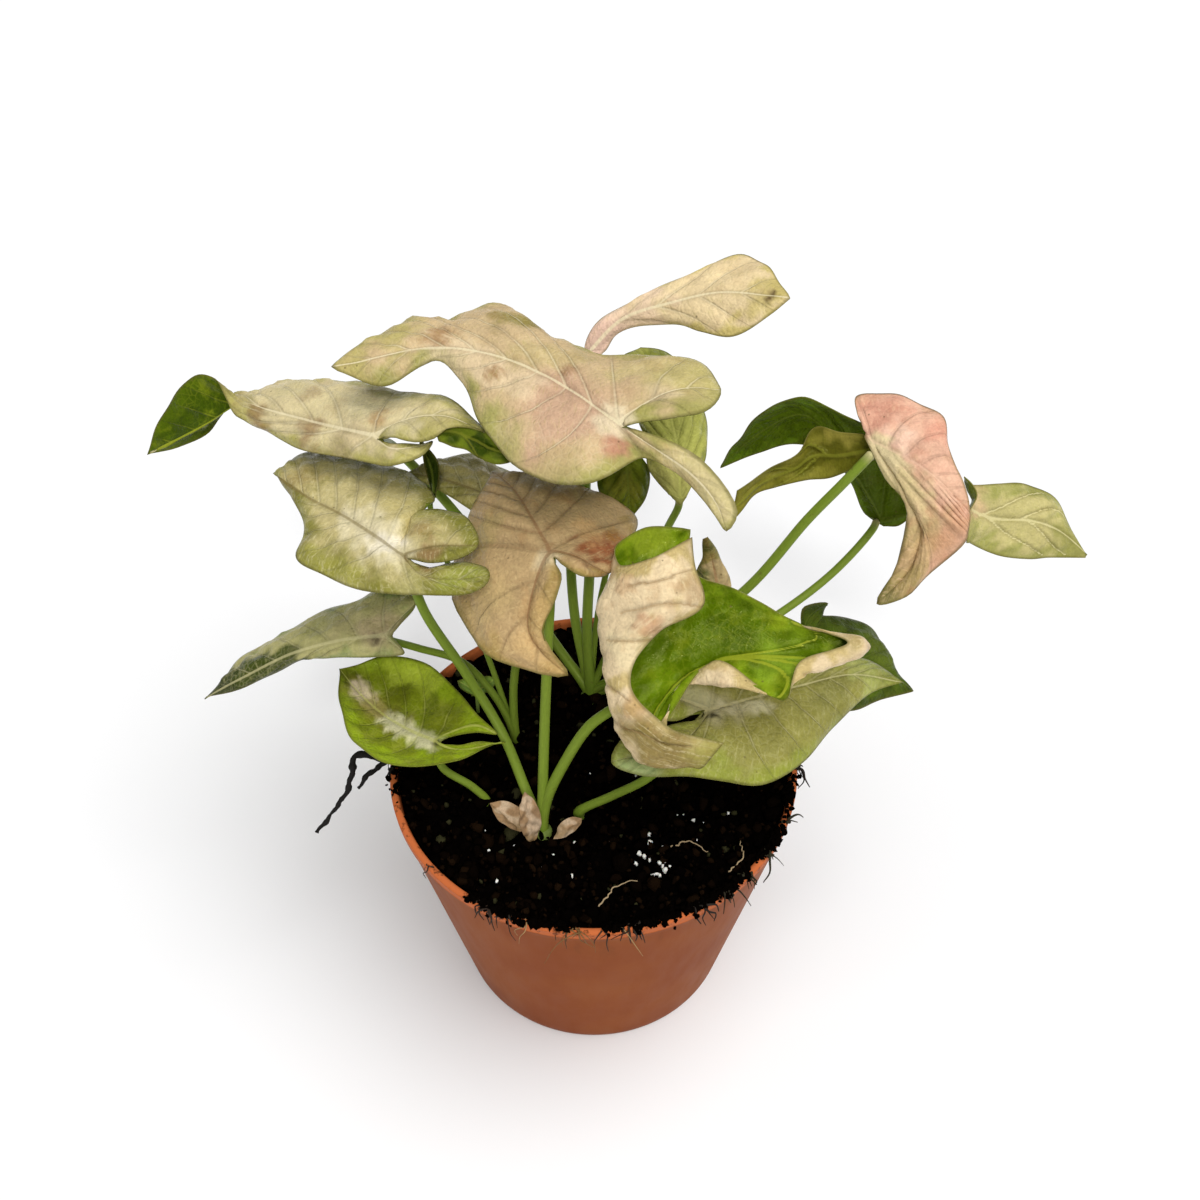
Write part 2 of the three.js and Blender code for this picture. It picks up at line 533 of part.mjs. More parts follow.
// the pink leaf's tip, from the crest of its fold down and on to the point
const PINK_TIP = {
  hub: [74, 36, 171], turn: [0, 0, 48], faceUp: true, stepsAlong: 9, stepsAcross: 6,
  rows: [
    [[23, -9.5, 9], [26.5, -14, 9.2], [24.5, -19, 10], [24, -23, 9], [23.5, -26.5, 8.5]],
    [[26, -10.5, 4], [26, -14.5, 5], [26.5, -19, 5.5], [26.5, -23, 5], [26.5, -26.5, 4]],
    [[36.5, -10, -3], [36, -15.5, -1], [35.5, -20, 0], [36, -25.5, -1], [36, -29.5, -2]],
    [[46.5, -9.5, -7], [46, -15.5, -4], [45.5, -20.5, -3], [45.5, -26, -3], [45.5, -30.5, -4]],
    [[54.5, -14, -10], [54.5, -18.5, -7.5], [53.5, -23, -6], [52, -27, -6], [51, -30, -6]],
    [[59.5, -23, -9], [60, -25, -8], [60, -26.5, -7.5], [59.5, -28, -7.5], [58, -30, -7.5]],
    [[62.5, -28, -8.5], [62.7, -28.5, -8.2], [63, -29, -8], [62.7, -29.5, -8], [62.5, -30, -8]],
  ],
};

// the curled sheets that belong to a leaf
const CURLED_PARTS = { leaf_left: [LEFT_BACK_LOBE], leaf_pink: [PINK_BACK_LOBE, PINK_TIP] };

// ---- shoots: petioles of one crown, each from its leaf down to the soil ----
const SHOOTS = {
  shoot_front: {
    at: [-14.5, -24], radius: 3.4, top: 83,
    petioles: [
      { radius: 1.5, leaf: 'leaf_centre', path: [[-12, -1, 134], [-13, -8, 117], [-14, -18, 96]] },
      {
        radius: 1.5, leaf: 'leaf_mottled',
        path: [[-46, 10, 133], [-36, 7, 112], [-26, -3, 98], [-19, -17, 90]],
      },
      { radius: 1.6, end: [5, -13, 119.5], path: [[-1, -14, 114], [-8, -17, 102], [-13, -21, 91]] },
    ],
  },
  shoot_left: {
    at: [-31, -14], radius: 1.6, top: 83,
    petioles: [{ radius: 1.2, leaf: 'leaf_small_green', path: [[-43, -11, 93], [-35, -13, 87]] }],
  },
  shoot_right: {
    at: [-4, -19], radius: 1.8, top: 84,
    petioles: [{ radius: 1.3, leaf: 'leaf_front', path: [[26, -16, 110], [15, -19, 98], [5, -19, 90]] }],
  },
  shoot_middle: {
    at: [-24, 11], radius: 2, top: 81,
    petioles: [
      { radius: 1.3, leaf: 'leaf_behind', path: [[-19, 26, 123], [-24, 17, 98]] },
      { radius: 1.2, leaf: 'leaf_lower_left', path: [[-51, 18, 112], [-39, 20, 104], [-29, 15, 93]] },
      { radius: 0.9, leaf: 'leaf_spear', path: [[-44, 39, 130], [-33, 25, 106]] },
    ],
  },
  shoot_back: {
    at: [-1, 27], radius: 4, top: 84,
    petioles: [
      { radius: 1.7, leaf: 'leaf_top', path: [[3, 33, 172], [-2, 43, 155], [-1, 42, 129], [-2, 34, 104]] },
      {
        radius: 1.6, leaf: 'leaf_left',
        path: [[-59, 60, 154], [-45, 61, 132], [-23, 46, 107], [-9, 34, 92]],
      },
      { radius: 1.6, leaf: 'leaf_flag', path: [[-4, 62, 159], [-7, 53, 132], [-6, 40, 105]] },
      { radius: 1.5, end: [74, 34, 168], path: [[68, 32, 161], [60, 31, 150], [45, 29, 126], [18, 29, 96]] },
      { radius: 1.3, end: [83, 46, 134], path: [[70, 38, 122], [46, 29, 107], [16, 26, 89]] },
      { radius: 1.2, leaf: 'leaf_upright', path: [[21, 34, 144], [11, 33, 114], [3, 30, 94]] },
      { radius: 1.0, leaf: 'leaf_hanging', path: [[6, 45, 133], [1, 38, 105]] },
      { radius: 1.2, leaf: 'leaf_new', path: [[28, 17, 117], [12, 23, 96]] },
      { radius: 1.2, leaf: 'leaf_dark_side', path: [[45, 29, 92], [19, 27, 87]] },
    ],
  },
};

// papery sheaths at the foot of the front shoot: base, tip and width
const SHEATHS = {
  sheath_left: { base: [-20, -25, 84], tip: [-29, -20.5, 89], width: 7 },
  sheath_middle: { base: [-17, -29, 84.5], tip: [-18.5, -26, 101], width: 6 },
  sheath_right: { base: [-9.5, -27.5, 83.5], tip: [-3, -24.5, 87], width: 5 },
};

const STRAY_ROOT = {
  radius: 0.9,
  path: [[-52, -2, 87.5], [-61, -4, 88], [-69, -5, 91], [-70, -9, 87], [-74, -15, 81], [-80, -21, 76]],
  branch: [[-60, -4, 88], [-66, -9, 86], [-68, -11, 84]],
};

const SEEDLING = {
  at: [-36, 20], radius: 0.8,
  stem: [[-36, 20, 84], [-36, 21, 90]],
  leaflets: [
    { base: [-36, 21, 90], tip: [-42, 24, 92], width: 5 },
    { base: [-36, 21, 90], tip: [-30, 25, 92], width: 6 },
  ],
};

// ---- petioles and shoots ----
function tube(points, radius, steps = PETIOLE_STEPS, sides = PETIOLE_SIDES) {
  const section = new THREE.Shape();
  section.absarc(0, 0, radius, 0, 2 * Math.PI);
  const outline = new THREE.Shape(section.getPoints(sides / 2).slice(0, sides));
  const knots = points.map((point) => new THREE.Vector3(...point));
  const path = new THREE.CatmullRomCurve3(knots, false, 'centripetal');
  return new THREE.ExtrudeGeometry(outline, { steps, bevelEnabled: false, extrudePath: path });
}

function petioleEnd(name) {
  const { hub, up } = leafFrame(LEAVES[name].hub, LEAVES[name].turn);
  return hub.clone().addScaledVector(up, -PETIOLE_END_GAP).toArray();
}

function crown({ at: [x, y], radius, top }) {
  const foot = SOIL_LEVEL - HOLE_DEPTH;
  const narrow = radius * 0.65;
  const profile = [[0, foot], [narrow, foot], [radius, foot + CROWN_TAPER], [radius, top - CROWN_TAPER],
    [narrow, top], [0, top]].map(([r, z]) => new THREE.Vector2(r, z));
  return new THREE.LatheGeometry(profile, CROWN_SIDES).rotateX(Math.PI / 2).translate(x, y, 0);
}

function shootGeometry(shoot) {
  const [x, y] = shoot.at;
  const petioles = shoot.petioles.map(({ radius, leaf, end, path }) => tube(
    [leaf ? petioleEnd(leaf) : end, ...path, [x, y, shoot.top - 1], [x, y, shoot.top - 5]],
    radius,
  ));
  return joined([crown(shoot), ...petioles]);
}

// a small pointed scale or leaflet: widest at a third of its length, its margins raised
function smallBlade({ base, tip, width }) {
  const run = new THREE.Vector3(...tip).sub(new THREE.Vector3(...base));
  const length = run.length();
  const heading = THREE.MathUtils.radToDeg(Math.atan2(run.y, run.x));
  const pitch = THREE.MathUtils.radToDeg(Math.asin(run.z / length));
  const half = width / 2;
  const side = (sign) => ({
    margin: [[0, sign * half * 0.5, 0], [length * 0.3, sign * half, half * 0.35],
      [length * 0.72, sign * half * 0.8, half * 0.3]],
    lobe: 0, shoulder: 1, arch: 0,
  });
  return leafBlade({
    hub: base, turn: [heading, pitch, 0], tip: [length, 0, 0],
    midrib: [[length * 0.5, 0, 0]], left: side(1), right: side(-1), steps: SCALE_STEPS,
  });
}

// ---- pot and soil ----
function outerRadius(z) {
  return POT_BASE_RADIUS + (POT_TOP_RADIUS - POT_BASE_RADIUS) * z / POT_HEIGHT;
}

function potGeometry() {
  const lipRadius = RIM_WALL / 2;
  const rimFoot = POT_HEIGHT - RIM_HEIGHT;
  const lipDrop = lipRadius * 0.6; // the lip is flatter than a half circle
  const lip = Array.from({ length: LIP_STEPS + 1 }, (_, i) => {
    const angle = Math.PI * i / LIP_STEPS;
    return [POT_TOP_RADIUS - lipRadius + lipRadius * Math.cos(angle),
      POT_HEIGHT - lipDrop * (1 - Math.sin(angle))];
  });
  const profile = [[0, 0], [POT_BASE_RADIUS - BASE_CHAMFER, 0], [outerRadius(BASE_CHAMFER), BASE_CHAMFER],
    ...lip, [outerRadius(rimFoot) - RIM_WALL, rimFoot], [outerRadius(rimFoot - 1) - POT_WALL, rimFoot - 1],
    [outerRadius(POT_FLOOR) - POT_WALL, POT_FLOOR], [0, POT_FLOOR]];
  const shell = new THREE.LatheGeometry(profile.map(([r, z]) => new THREE.Vector2(r, z)), POT_SIDES)
    .rotateX(Math.PI / 2);
  let solid = toSolid(shell);
  for (let i = 0; i < DRAIN_HOLES; i += 1) {
    const angle = 2 * Math.PI * i / DRAIN_HOLES;
    const hole = new THREE.CylinderGeometry(DRAIN_RADIUS, DRAIN_RADIUS, POT_FLOOR * 4, DRAIN_SIDES)
      .rotateX(Math.PI / 2)
      .translate(DRAIN_CIRCLE * Math.cos(angle), DRAIN_CIRCLE * Math.sin(angle), 0);
    solid = solid.subtract(toSolid(hole));
  }
  return toGeometry(solid);
}

function soilHeight(x, y) {
  const bank = (Math.hypot(x, y) / POT_TOP_RADIUS) ** 4;
  // two crossing ripples of about 20 mm, so that the lumps lie unevenly
  const lumps = Math.sin(x * 0.31 + 1.1) * Math.cos(y * 0.27) + 0.6 * Math.sin(x * 0.13 - y * 0.41);
  return SOIL_LEVEL + SOIL_EDGE_RISE * bank + SOIL_LUMP * lumps * (1 - bank);
}

function soilGeometry() {
  const inner = (z) => outerRadius(z) - POT_WALL - GAP;
  const floor = POT_FLOOR + GAP;
  const edgeLevel = SOIL_LEVEL + BANK_HEIGHT;
  const edge = outerRadius(edgeLevel) - RIM_WALL - GAP;
  const rings = Array.from({ length: SOIL_RINGS }, (_, i) => [edge * (1 - i / SOIL_RINGS), SOIL_LEVEL]);
  const shoulder = edgeLevel - BANK_HEIGHT - 1;
  const profile = [[0, floor], [inner(floor), floor], [inner(shoulder) - GAP, shoulder], ...rings,
    [0, SOIL_LEVEL]].map(([r, z]) => new THREE.Vector2(r, z));
  const geometry = new THREE.LatheGeometry(profile, SOIL_SIDES).rotateX(Math.PI / 2);
  const position = geometry.attributes.position;
  for (let i = 0; i < position.count; i += 1) {
    if (position.getZ(i) > SOIL_LEVEL - 0.1) {
      position.setZ(i, soilHeight(position.getX(i), position.getY(i)));
    }
  }
  const stems = [...Object.values(SHOOTS), { at: SEEDLING.at, radius: SEEDLING.radius }];
  return toGeometry(stems.reduce((solid, { at: [x, y], radius }) => {
    const hole = new THREE.CylinderGeometry(radius + GAP, radius + GAP, 2 * (HOLE_DEPTH + GAP), CROWN_SIDES)
      .rotateX(Math.PI / 2).translate(x, y, SOIL_LEVEL);
    return solid.subtract(toSolid(hole));
  }, toSolid(geometry)));
}

function rootGeometry() {
  return joined([
    tube(STRAY_ROOT.path, STRAY_ROOT.radius, 12, 6),
    tube(STRAY_ROOT.branch, STRAY_ROOT.radius * 0.8, 5, 6),
  ]);
}

function seedlingGeometry() {
  const [x, y] = SEEDLING.at;
  const stem = tube([[x, y, SOIL_LEVEL - 6], ...SEEDLING.stem], SEEDLING.radius, 6, 6);
  return joined([stem, ...SEEDLING.leaflets.map(smallBlade)]);
}

// ---- the potted plant ----
const plant = new THREE.Group();

function add(name, geometry, finish) {
  const [color, roughness] = FINISH[finish];
  const mesh = new THREE.Mesh(geometry, new THREE.MeshStandardMaterial({ color, roughness, metalness: 0 }));
  mesh.name = name;
  plant.add(mesh);
}

add('pot', potGeometry(), 'terracotta');
add('soil', soilGeometry(), 'soil');
for (const [name, shoot] of Object.entries(SHOOTS)) add(name, shootGeometry(shoot), 'petiole');
for (const [name, leaf] of Object.entries(LEAVES)) {
  const blade = leafBlade(leaf);
  const sheets = (CURLED_PARTS[name] ?? []).map(curledBlade);
  const whole = sheets.length ? joined([blade, ...sheets]) : blade;
  add(name, whole, leaf.finish);
}
add('leaf_rolled', curledBlade(ROLLED_LEAF), 'cream');
for (const [name, sheath] of Object.entries(SHEATHS)) add(name, smallBlade(sheath), 'sheath');
add('seedling', seedlingGeometry(), 'brightGreen');
add('stray_root', rootGeometry(), 'root');

export default plant;
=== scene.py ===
"""Arrowhead plant (Syngonium) in its nursery pot: fine leaves, stalks, soil and finishes on the frame.

Lengths in the tables are millimetres, as in the CAD part, and become metres when a mesh is made.
"""
import math
from collections import namedtuple

import bpy
import numpy as np
from mathutils import Euler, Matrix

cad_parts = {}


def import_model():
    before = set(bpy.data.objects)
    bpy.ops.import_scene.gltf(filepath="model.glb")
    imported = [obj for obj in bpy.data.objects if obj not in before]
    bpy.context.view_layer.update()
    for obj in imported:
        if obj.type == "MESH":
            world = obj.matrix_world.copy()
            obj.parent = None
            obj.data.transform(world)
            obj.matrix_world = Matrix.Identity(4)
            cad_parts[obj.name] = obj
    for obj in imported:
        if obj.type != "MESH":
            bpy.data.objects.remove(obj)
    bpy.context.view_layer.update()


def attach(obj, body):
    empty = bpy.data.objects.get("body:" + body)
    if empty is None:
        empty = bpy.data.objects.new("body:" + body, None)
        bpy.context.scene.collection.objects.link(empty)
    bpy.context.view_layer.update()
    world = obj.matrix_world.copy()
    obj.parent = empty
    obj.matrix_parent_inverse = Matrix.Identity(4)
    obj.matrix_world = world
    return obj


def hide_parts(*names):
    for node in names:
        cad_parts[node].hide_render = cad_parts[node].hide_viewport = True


MM = 0.001
TINY = 1e-9

# ---- camera, floor and light (metres and degrees) ----
CAMERA_PLACE = (0.0019, -0.22266, 0.34989)
CAMERA_TILT = 47.73  # from straight down
CAMERA_LENS = 34.65
SENSOR_WIDTH = 36.0
CAMERA_RANGE = (0.01, 100)
FLOOR_HALF = 6.0
FLOOR_COLOURS = ("#f2f2f3", "#f5f5f5")
FLOOR_CLOUD_SIZE = 800  # millimetres
SUN_HEIGHT = 2
# name, strength, spread (a broad sun is a soft one), turn from straight down
LIGHTS = [
    ("soft_sun", 1.95, 50, (6, 16, 0)),
    ("front_fill", 1.2, 11, (CAMERA_TILT - 3, 0, 3)),
]
SKY_STRENGTH = 0.3

# ---- pot and soil (millimetres) ----
POT_HEIGHT = 85.5
POT_TOP_RADIUS = 60
POT_BASE_RADIUS = 44
POT_WALL = 1.3
POT_FLOOR = 1.6
POT_SIDES = 192
POT_SHARP_ANGLE = 50
BASE_ROUND = 1.2  # height and depth of the rounding under its foot
BASE_ROUND_DEPTH = 0.5
BEAD_ANGLES = range(-40, 181, 20)
WALL_RINGS = 34
INNER_WALL_RINGS = 20
BEAD_FLATNESS = 0.75
RIM_HEIGHT = 2.6
RIM_WALL = 2.1
RING_RADIUS = POT_TOP_RADIUS - RIM_WALL / 2
LIP_DROP = 3.0  # from the top of the rim to the foot of its outer band
DRAIN_HOLES = 6
DRAIN_RADIUS = 3.5
DRAIN_CIRCLE = 29
DRAIN_SIDES = 32
GAP = 0.4
SOIL_LEVEL = 80.4
SOIL_EDGE_RISE = 3.4
SOIL_LUMP = 0.9
SOIL_EDGE_DROP = 1.4  # the soil's top is as wide as the pot this far below the soil's edge
SOIL_SIDES = 330
SOIL_RINGS = 110
SOIL_WALL_RINGS = 12
SOIL_ROUGHNESS = [(0.54, 9), (0.42, 4.2), (0.27, 2.1), (0.18, 1.2)]  # height and size of its lumps
HOLE_DEPTH = 9

# ---- leaf surface ----
LOBE_STEPS = 16
BLADE_STEPS = 56
ACROSS_STEPS = 22
BACK_LOBE_STEPS = (30, 60)  # rows along, points across
LEFT_LOBE_STEPS = (70, 40)
PINK_TIP_STEPS = (80, 48)
ROLLED_STEPS = (130, 110)
NUDGE = 1e-3  # a share of a margin, over which its run is taken
WELD_DECIMALS = 3  # points that agree to so many decimals are one
SINUS_DEPTH = 2  # the lobes join this far behind the stalk
BLADE_THICKNESS = 0.5
MARGIN_THICKNESS = 0.3
MARGIN_TAPER = 3  # a blade grows from one thickness to the other over this distance
SMOOTHING_PASSES = 5
VEIN_SWEEP = 0.32  # how far forward a side vein runs, as a share of the midrib
VEIN_SPACING = (1.5, 25)  # least and greatest
LEAST_STEEPNESS = 1e-6
LOBE_VEIN_SPACING = 9
MIDRIB_WIDTHS = (0.85, 0.25)  # at the stalk and at the tip
LOBE_RIB_WIDTHS = (0.55, 0.16)
SIDE_VEIN_WIDTH = 0.42
FAR = 60.0  # beyond this many widths a vein has no effect
VEIN_POINTS = 40
QUILT_HEIGHT = 0.55  # how far the blade bulges between its side veins
QUILT_FLANK = 0.42  # where a bulge is at its full height, as a share of the way from vein to vein
QUILT_SHARPNESS = (2, 12)  # veins closer than the first, in their own widths, have no bulge between them
RIB_FLANK = 3  # bulges rise over this distance from a rib, and over this one from the margin
MARGIN_FLANK = 4
MARGIN_WAVE = 0.5
MARGIN_WAVE_LENGTH = 16
MARGIN_WAVE_REACH = 9
BLADE_DENTS = [(0.3, 7), (0.1, 2.6)]  # height and size
DENT_SEED = 3  # these seeds are added to the leaf's own
ZONE_SEED = 10
LOWER_SEED = 50
RAGGED_BORDER = [(2.6, 9), (1.2, 3.5)]  # how the border between two colours wanders: distance and size
ZONE_CORE = 0.35  # share of a zone's radius with its full colour
ZONE_WANDER = 0.22  # how far its edge wanders and over what length, as shares of its radius
ZONE_WANDER_SIZE = 0.8
ZONE_WANDER_LEAST = 3

# ---- stalks and scales ----
# where a stalk's end runs on to the leaf that it carries: its end in the table and the place on the leaf
STALK_TOPS = {(83, 46, 134): (84.8, 49.2, 135.3)}
STALK_SIDES = 20
STALK_STEPS = 90
STALK_GROOVE = 0.12
GROOVE_HALF_WIDTH = 0.5
NO_TUBE_RUNS = (0.13, -0.21, 0.97)  # a way that no tube runs
STALK_TOP = (0.01, 0.09)  # shares of a stalk over which its top's colour fades, and its foot's begins
STALK_FOOT = (0.8, 1)
STALK_TOP_THINNING = 0.6
STALK_TOP_END = 0.022
STALK_FOOT_SWELL = 0.55
STALK_TAPER = 0.1
STALK_START = [(1.2, 0, -0.35), (-0.2, 0, -2.8)]  # in the leaf's frame, under its hub
BLIND_RUN = 2.6  # a stalk without a table leaf runs on this far
CROWN_FOOT_RISE = 3
CROWN_TOP_RISES = (-4, -1, 0.6)  # from the top in the table
STALK_END_RISES = (-1, -5)
CROWN_STEPS = 25
CROWN_SWELL = [0.8, 1, 1, 0.8, 0.25]  # shares of the radius in the table, from foot to top
CROWN_COLOUR = "#8d9a58"
CROWN_SHARE = 0.4  # of this colour over that of a stalk's foot
# a scale's margin: shares of its length, of its half width, and of that for its height
SCALE_MARGIN = [(0, 0.5, 0), (0.3, 1, 0.35), (0.72, 0.8, 0.3)]
SCALE_DENTS = [(0.22, 4)]
SCALE_DENT_SEED = 9
SCALE_EDGE = (0, 2)  # the colour turns over this distance from the margin
SCALE_SEED = 5
SHEATH_COLOURS = ("#cdb292", "#a4835e")
SHEATH_FOOT = ((0, 0), 3, "#8f7246", 0.7)  # a zone: place, radius, colour and amount
SHEATH_BACK_SHADE = 0.8
LEAFLET_COLOURS = ("#8fb24a", "#7fa03c")
LEAFLET_BACK_SHADE = 0.7
SEEDLING_STEM_COLOUR = "#8ea650"
SEEDLING_RADIUS = 0.56
SEEDLING_STEPS = 20
SEEDLING_SIDES = 10
SEEDLING_VEINS = 3

# ---- crumbs, grains and roots ----
CRUMB_SEED = 31
CRUMBS = 2600
CRUMB_SIZES = (0.5, 0.55, 2.6)  # least, spread and greatest
ODD_CRUMB_SHARE = 0.975  # above this draw a crumb is a paler bit of bark or moss
CRUMB_REACH = 0.995
CRUMB_LIFT = 0.5
CRUMB_DARK = "#050403"
CRUMB_BROWN = "#3a2818"
CRUMB_ODD = "#5c5a3a"
RIM_CRUMB = "#0c0805"
RIM_CRUMB_SIZES = (0.35, 0.9)  # least, and how much larger the largest are
RIM_CRUMB_TURN = 1.3  # degrees about the middle of its clump
RIM_CRUMB_OFF = (-0.6, 0.9)  # from the middle of the rim, and its spread
RIM_TOP_WIDTH = 0.8  # beyond this distance from the middle of the rim, crumbs sit lower by this slope
RIM_SLOPE = 0.9
LUMP_RINGS = 4
LUMP_SIDES = 7
LUMP_FLATNESS = 0.75
LUMP_STRETCH = (0.55, 1.2)
LUMP_DENTS = 0.22
CLUMP_SIZE = 11  # crumbs to a clump on the rim
# dirt on the rim: from and to this angle in degrees, and crumbs
RIM_DIRT = [(-124, -110, 170), (-106, -94, 90), (-86, -74, 120), (-76, -26, 520), (-26, 2, 150),
            (170, 196, 80)]
# perlite: middle of a cluster, spread, count and grain size
PERLITE = [(17, -35, 3.2, 15, 0.75), (0, -28, 24, 16, 0.5), (-20, -30, 12, 8, 0.5), (32, -26, 10, 6, 0.5)]
PERLITE_FLATNESS = 0.9
PERLITE_SIZES = (0.5, 1.2)  # shares of the size in the table
PERLITE_LIFT = 1.3
PERLITE_MARGIN = 2
PERLITE_TONE = (0.9, 0.88, 0.84)
# fibres over the rim: angle and its spread in degrees, count, length, colour and thickness
FRINGES = [
    (-119, 1.6, 9, 7, "#2e2015", 0.36), (-113, 1.2, 5, 6, "#261c12", 0.34), (-106, 1, 3, 7, "#a08458", 0.2),
    (-97, 1, 4, 7, "#4c3822", 0.3), (-95, 1.2, 6, 10, "#7c5c34", 0.24), (-87, 1, 3, 4, "#33261a", 0.3),
    (-79, 1.4, 7, 6, "#261c12", 0.38), (-83, 1, 2, 8, "#a08458", 0.18), (-61, 1.2, 5, 6, "#201810", 0.42),
    (-53, 1, 6, 7, "#26200f", 0.42), (-45, 1.4, 6, 5, "#282410", 0.42), (-35, 1.4, 7, 6, "#282410", 0.42),
    (-24, 1.5, 5, 5, "#282410", 0.4), (-5, 1.4, 8, 7, "#201810", 0.44), (-139, 1, 2, 4, "#33261a", 0.26),
    (182, 4, 10, 5, "#140e0a", 0.46),
]
FRINGE_SEED = 57
FRINGE_STEPS = 14
FRINGE_SIDES = 5
FRINGE_START = (-1.2, 0.8)  # from the middle of the rim's width
FRINGE_LIFT = 0.2
FRINGE_OUT = (0.3, 0.9)
FRINGE_SLANT = 0.6
FRINGE_LENGTHS = (0.4, 1.1)  # shares of the length in the table
FRINGE_RUN = 0.4  # shares of its own length: out over the rim, then on and down at each fall
FRINGE_FALL_RUN = 0.2
FRINGE_DROP = 0.42
FRINGE_FALLS = (0.7, 1.0)
FRINGE_STRAYS = (0.3, 0.8)
FRINGE_RADII = (0.6, 1.2)  # shares of the thickness in the table
FRINGE_TAPER = 0.7
# how a root wanders: distance, size and seed
ROOT_WANDER = (0.35, 6, 1)
ROOT_KNOTS = [(0.3, 3)]
ROOT_KNOT_SEED = 4
ROOT_SWELL = 1.25
ROOT_TAPER = 0.6
ROOT_STEPS = 70
ROOT_SIDES = 12
ROOT_COLOUR = "#0f0a07"
# fine pale roots that lie on the soil
PALE_ROOTS = [
    [(2, -51, 84.2), (6, -46, 85.6), (12, -43, 84.6)],
    [(22, -31, 82.5), (27, -30, 84), (32, -33, 83)],
    [(37, -40, 84), (41, -36, 85), (41, -30, 84)],
]
PALE_ROOT_WANDER = (0.3, 2.5, 5)
PALE_ROOT_STEPS = 30
PALE_ROOT_SIDES = 6
PALE_ROOT_RADIUS = 0.24
PALE_ROOT_TAPER = 0.5
PALE_ROOT_COLOUR = "#b09874"


# ---- small maths ----
def unit(vectors):
    return vectors / np.maximum(np.linalg.norm(vectors, axis=-1, keepdims=True), TINY)


def smoothstep(low, high, values):
    share = np.clip((values - low) / (high - low), 0, 1)
    return share * share * (3 - 2 * share)


def wobble(points, size, seed, waves=7):
    """A smooth field of about -1 to 1 over points in space, which varies over `size` millimetres."""
    draw = np.random.default_rng(seed)
    directions = unit(draw.normal(size=(waves, 3)))
    strides = 2 * math.pi / size * draw.uniform(0.6, 1.6, waves)
    phases = draw.uniform(0, 2 * math.pi, waves)
    return np.sin(points @ (directions * strides[:, None]).T + phases).sum(axis=-1) / math.sqrt(waves)


def ruffled(points, seed, waves):
    """Sum of wobbles, each given by its height and its size."""
    return sum(height * wobble(points, size, seed + step) for step, (height, size) in enumerate(waves))


def linear(colour):
    """A colour such as "#d8c49a" as linear red, green and blue."""
    channels = np.array([int(colour[i:i + 2], 16) for i in (1, 3, 5)]) / 255
    return np.where(channels <= 0.04045, channels / 12.92, ((channels + 0.055) / 1.055) ** 2.4)


def run_along(points):
    """Length of a path up to each of its points."""
    return np.concatenate([[0], np.cumsum(np.linalg.norm(np.diff(points, axis=0), axis=1))])


def knot_shares(points):
    """Where each of a path's given points lies on it, spaced centripetally."""
    knots = np.concatenate([[0], np.cumsum(np.sqrt(np.linalg.norm(np.diff(points, axis=0), axis=1)))])
    return knots / knots[-1]


def smooth_path(points, at):
    """Points at the shares `at` of a smooth path through given points."""
    points = np.asarray(points, float)
    knots = knot_shares(points)
    spans = np.diff(knots)[:, None]
    slopes = np.diff(points, axis=0) / spans
    inner = (slopes[:-1] * spans[1:] + slopes[1:] * spans[:-1]) / (spans[:-1] + spans[1:])
    tangents = np.concatenate([slopes[:1], inner, slopes[-1:]])
    k = np.clip(np.searchsorted(knots, at, side="right") - 1, 0, len(points) - 2)
    span = spans[k]
    u = ((at - knots[k]) / span[:, 0])[:, None]
    return ((2 * u ** 3 - 3 * u ** 2 + 1) * points[k] + (u ** 3 - 2 * u ** 2 + u) * span * tangents[k]
            + (3 * u ** 2 - 2 * u ** 3) * points[k + 1] + (u ** 3 - u ** 2) * span * tangents[k + 1])


class LeafFrame:
    """A leaf's own frame: along its midrib, across to its left, and up off its upper face."""

    def __init__(self, hub, turn):
        heading, pitch, roll = np.radians(turn)
        level_run = math.cos(pitch)
        along = np.array([level_run * math.cos(heading), level_run * math.sin(heading), math.sin(pitch)])
        level = np.array([-math.sin(heading), math.cos(heading), 0])
        upright = np.cross(along, level)
        across = level * math.cos(roll) + upright * math.sin(roll)
        up = upright * math.cos(roll) - level * math.sin(roll)
        self.hub = np.array(hub, float)
        self.axes = np.array([along, across, up])

    def place(self, points):
        return self.hub + np.asarray(points, float) @ self.axes

    def local(self, points):
        return (points - self.hub) @ self.axes.T


# ---- sheets: welded grids with the fields that their finish needs ----
# lines holds a side vein's phase, how sharp it is, and the distance from the rib in rib widths;
# form holds the distances from the margin and from the rib in millimetres;
# grain holds millimetres along and across, which streaks follow.
FIELDS = ("lines", "form", "grain")


def line_gap(phase):
    """Distance of a phase from the nearest whole number: 0 on a vein, 0.5 halfway between two."""
    return np.abs(phase - np.round(phase))


def phase_spacing(grid, phase):
    """Millimetres of surface between one vein and the next, at each point of a grid."""
    along, across = np.gradient(grid, axis=0), np.gradient(grid, axis=1)
    phase_along, phase_across = np.gradient(phase, axis=0), np.gradient(phase, axis=1)
    e, f, g = (along * along).sum(-1), (along * across).sum(-1), (across * across).sum(-1)
    steepness = g * phase_along ** 2 - 2 * f * phase_along * phase_across + e * phase_across ** 2
    steepness = steepness / np.maximum(e * g - f * f, LEAST_STEEPNESS)
    return np.clip(1 / np.sqrt(np.maximum(steepness, LEAST_STEEPNESS)), *VEIN_SPACING)


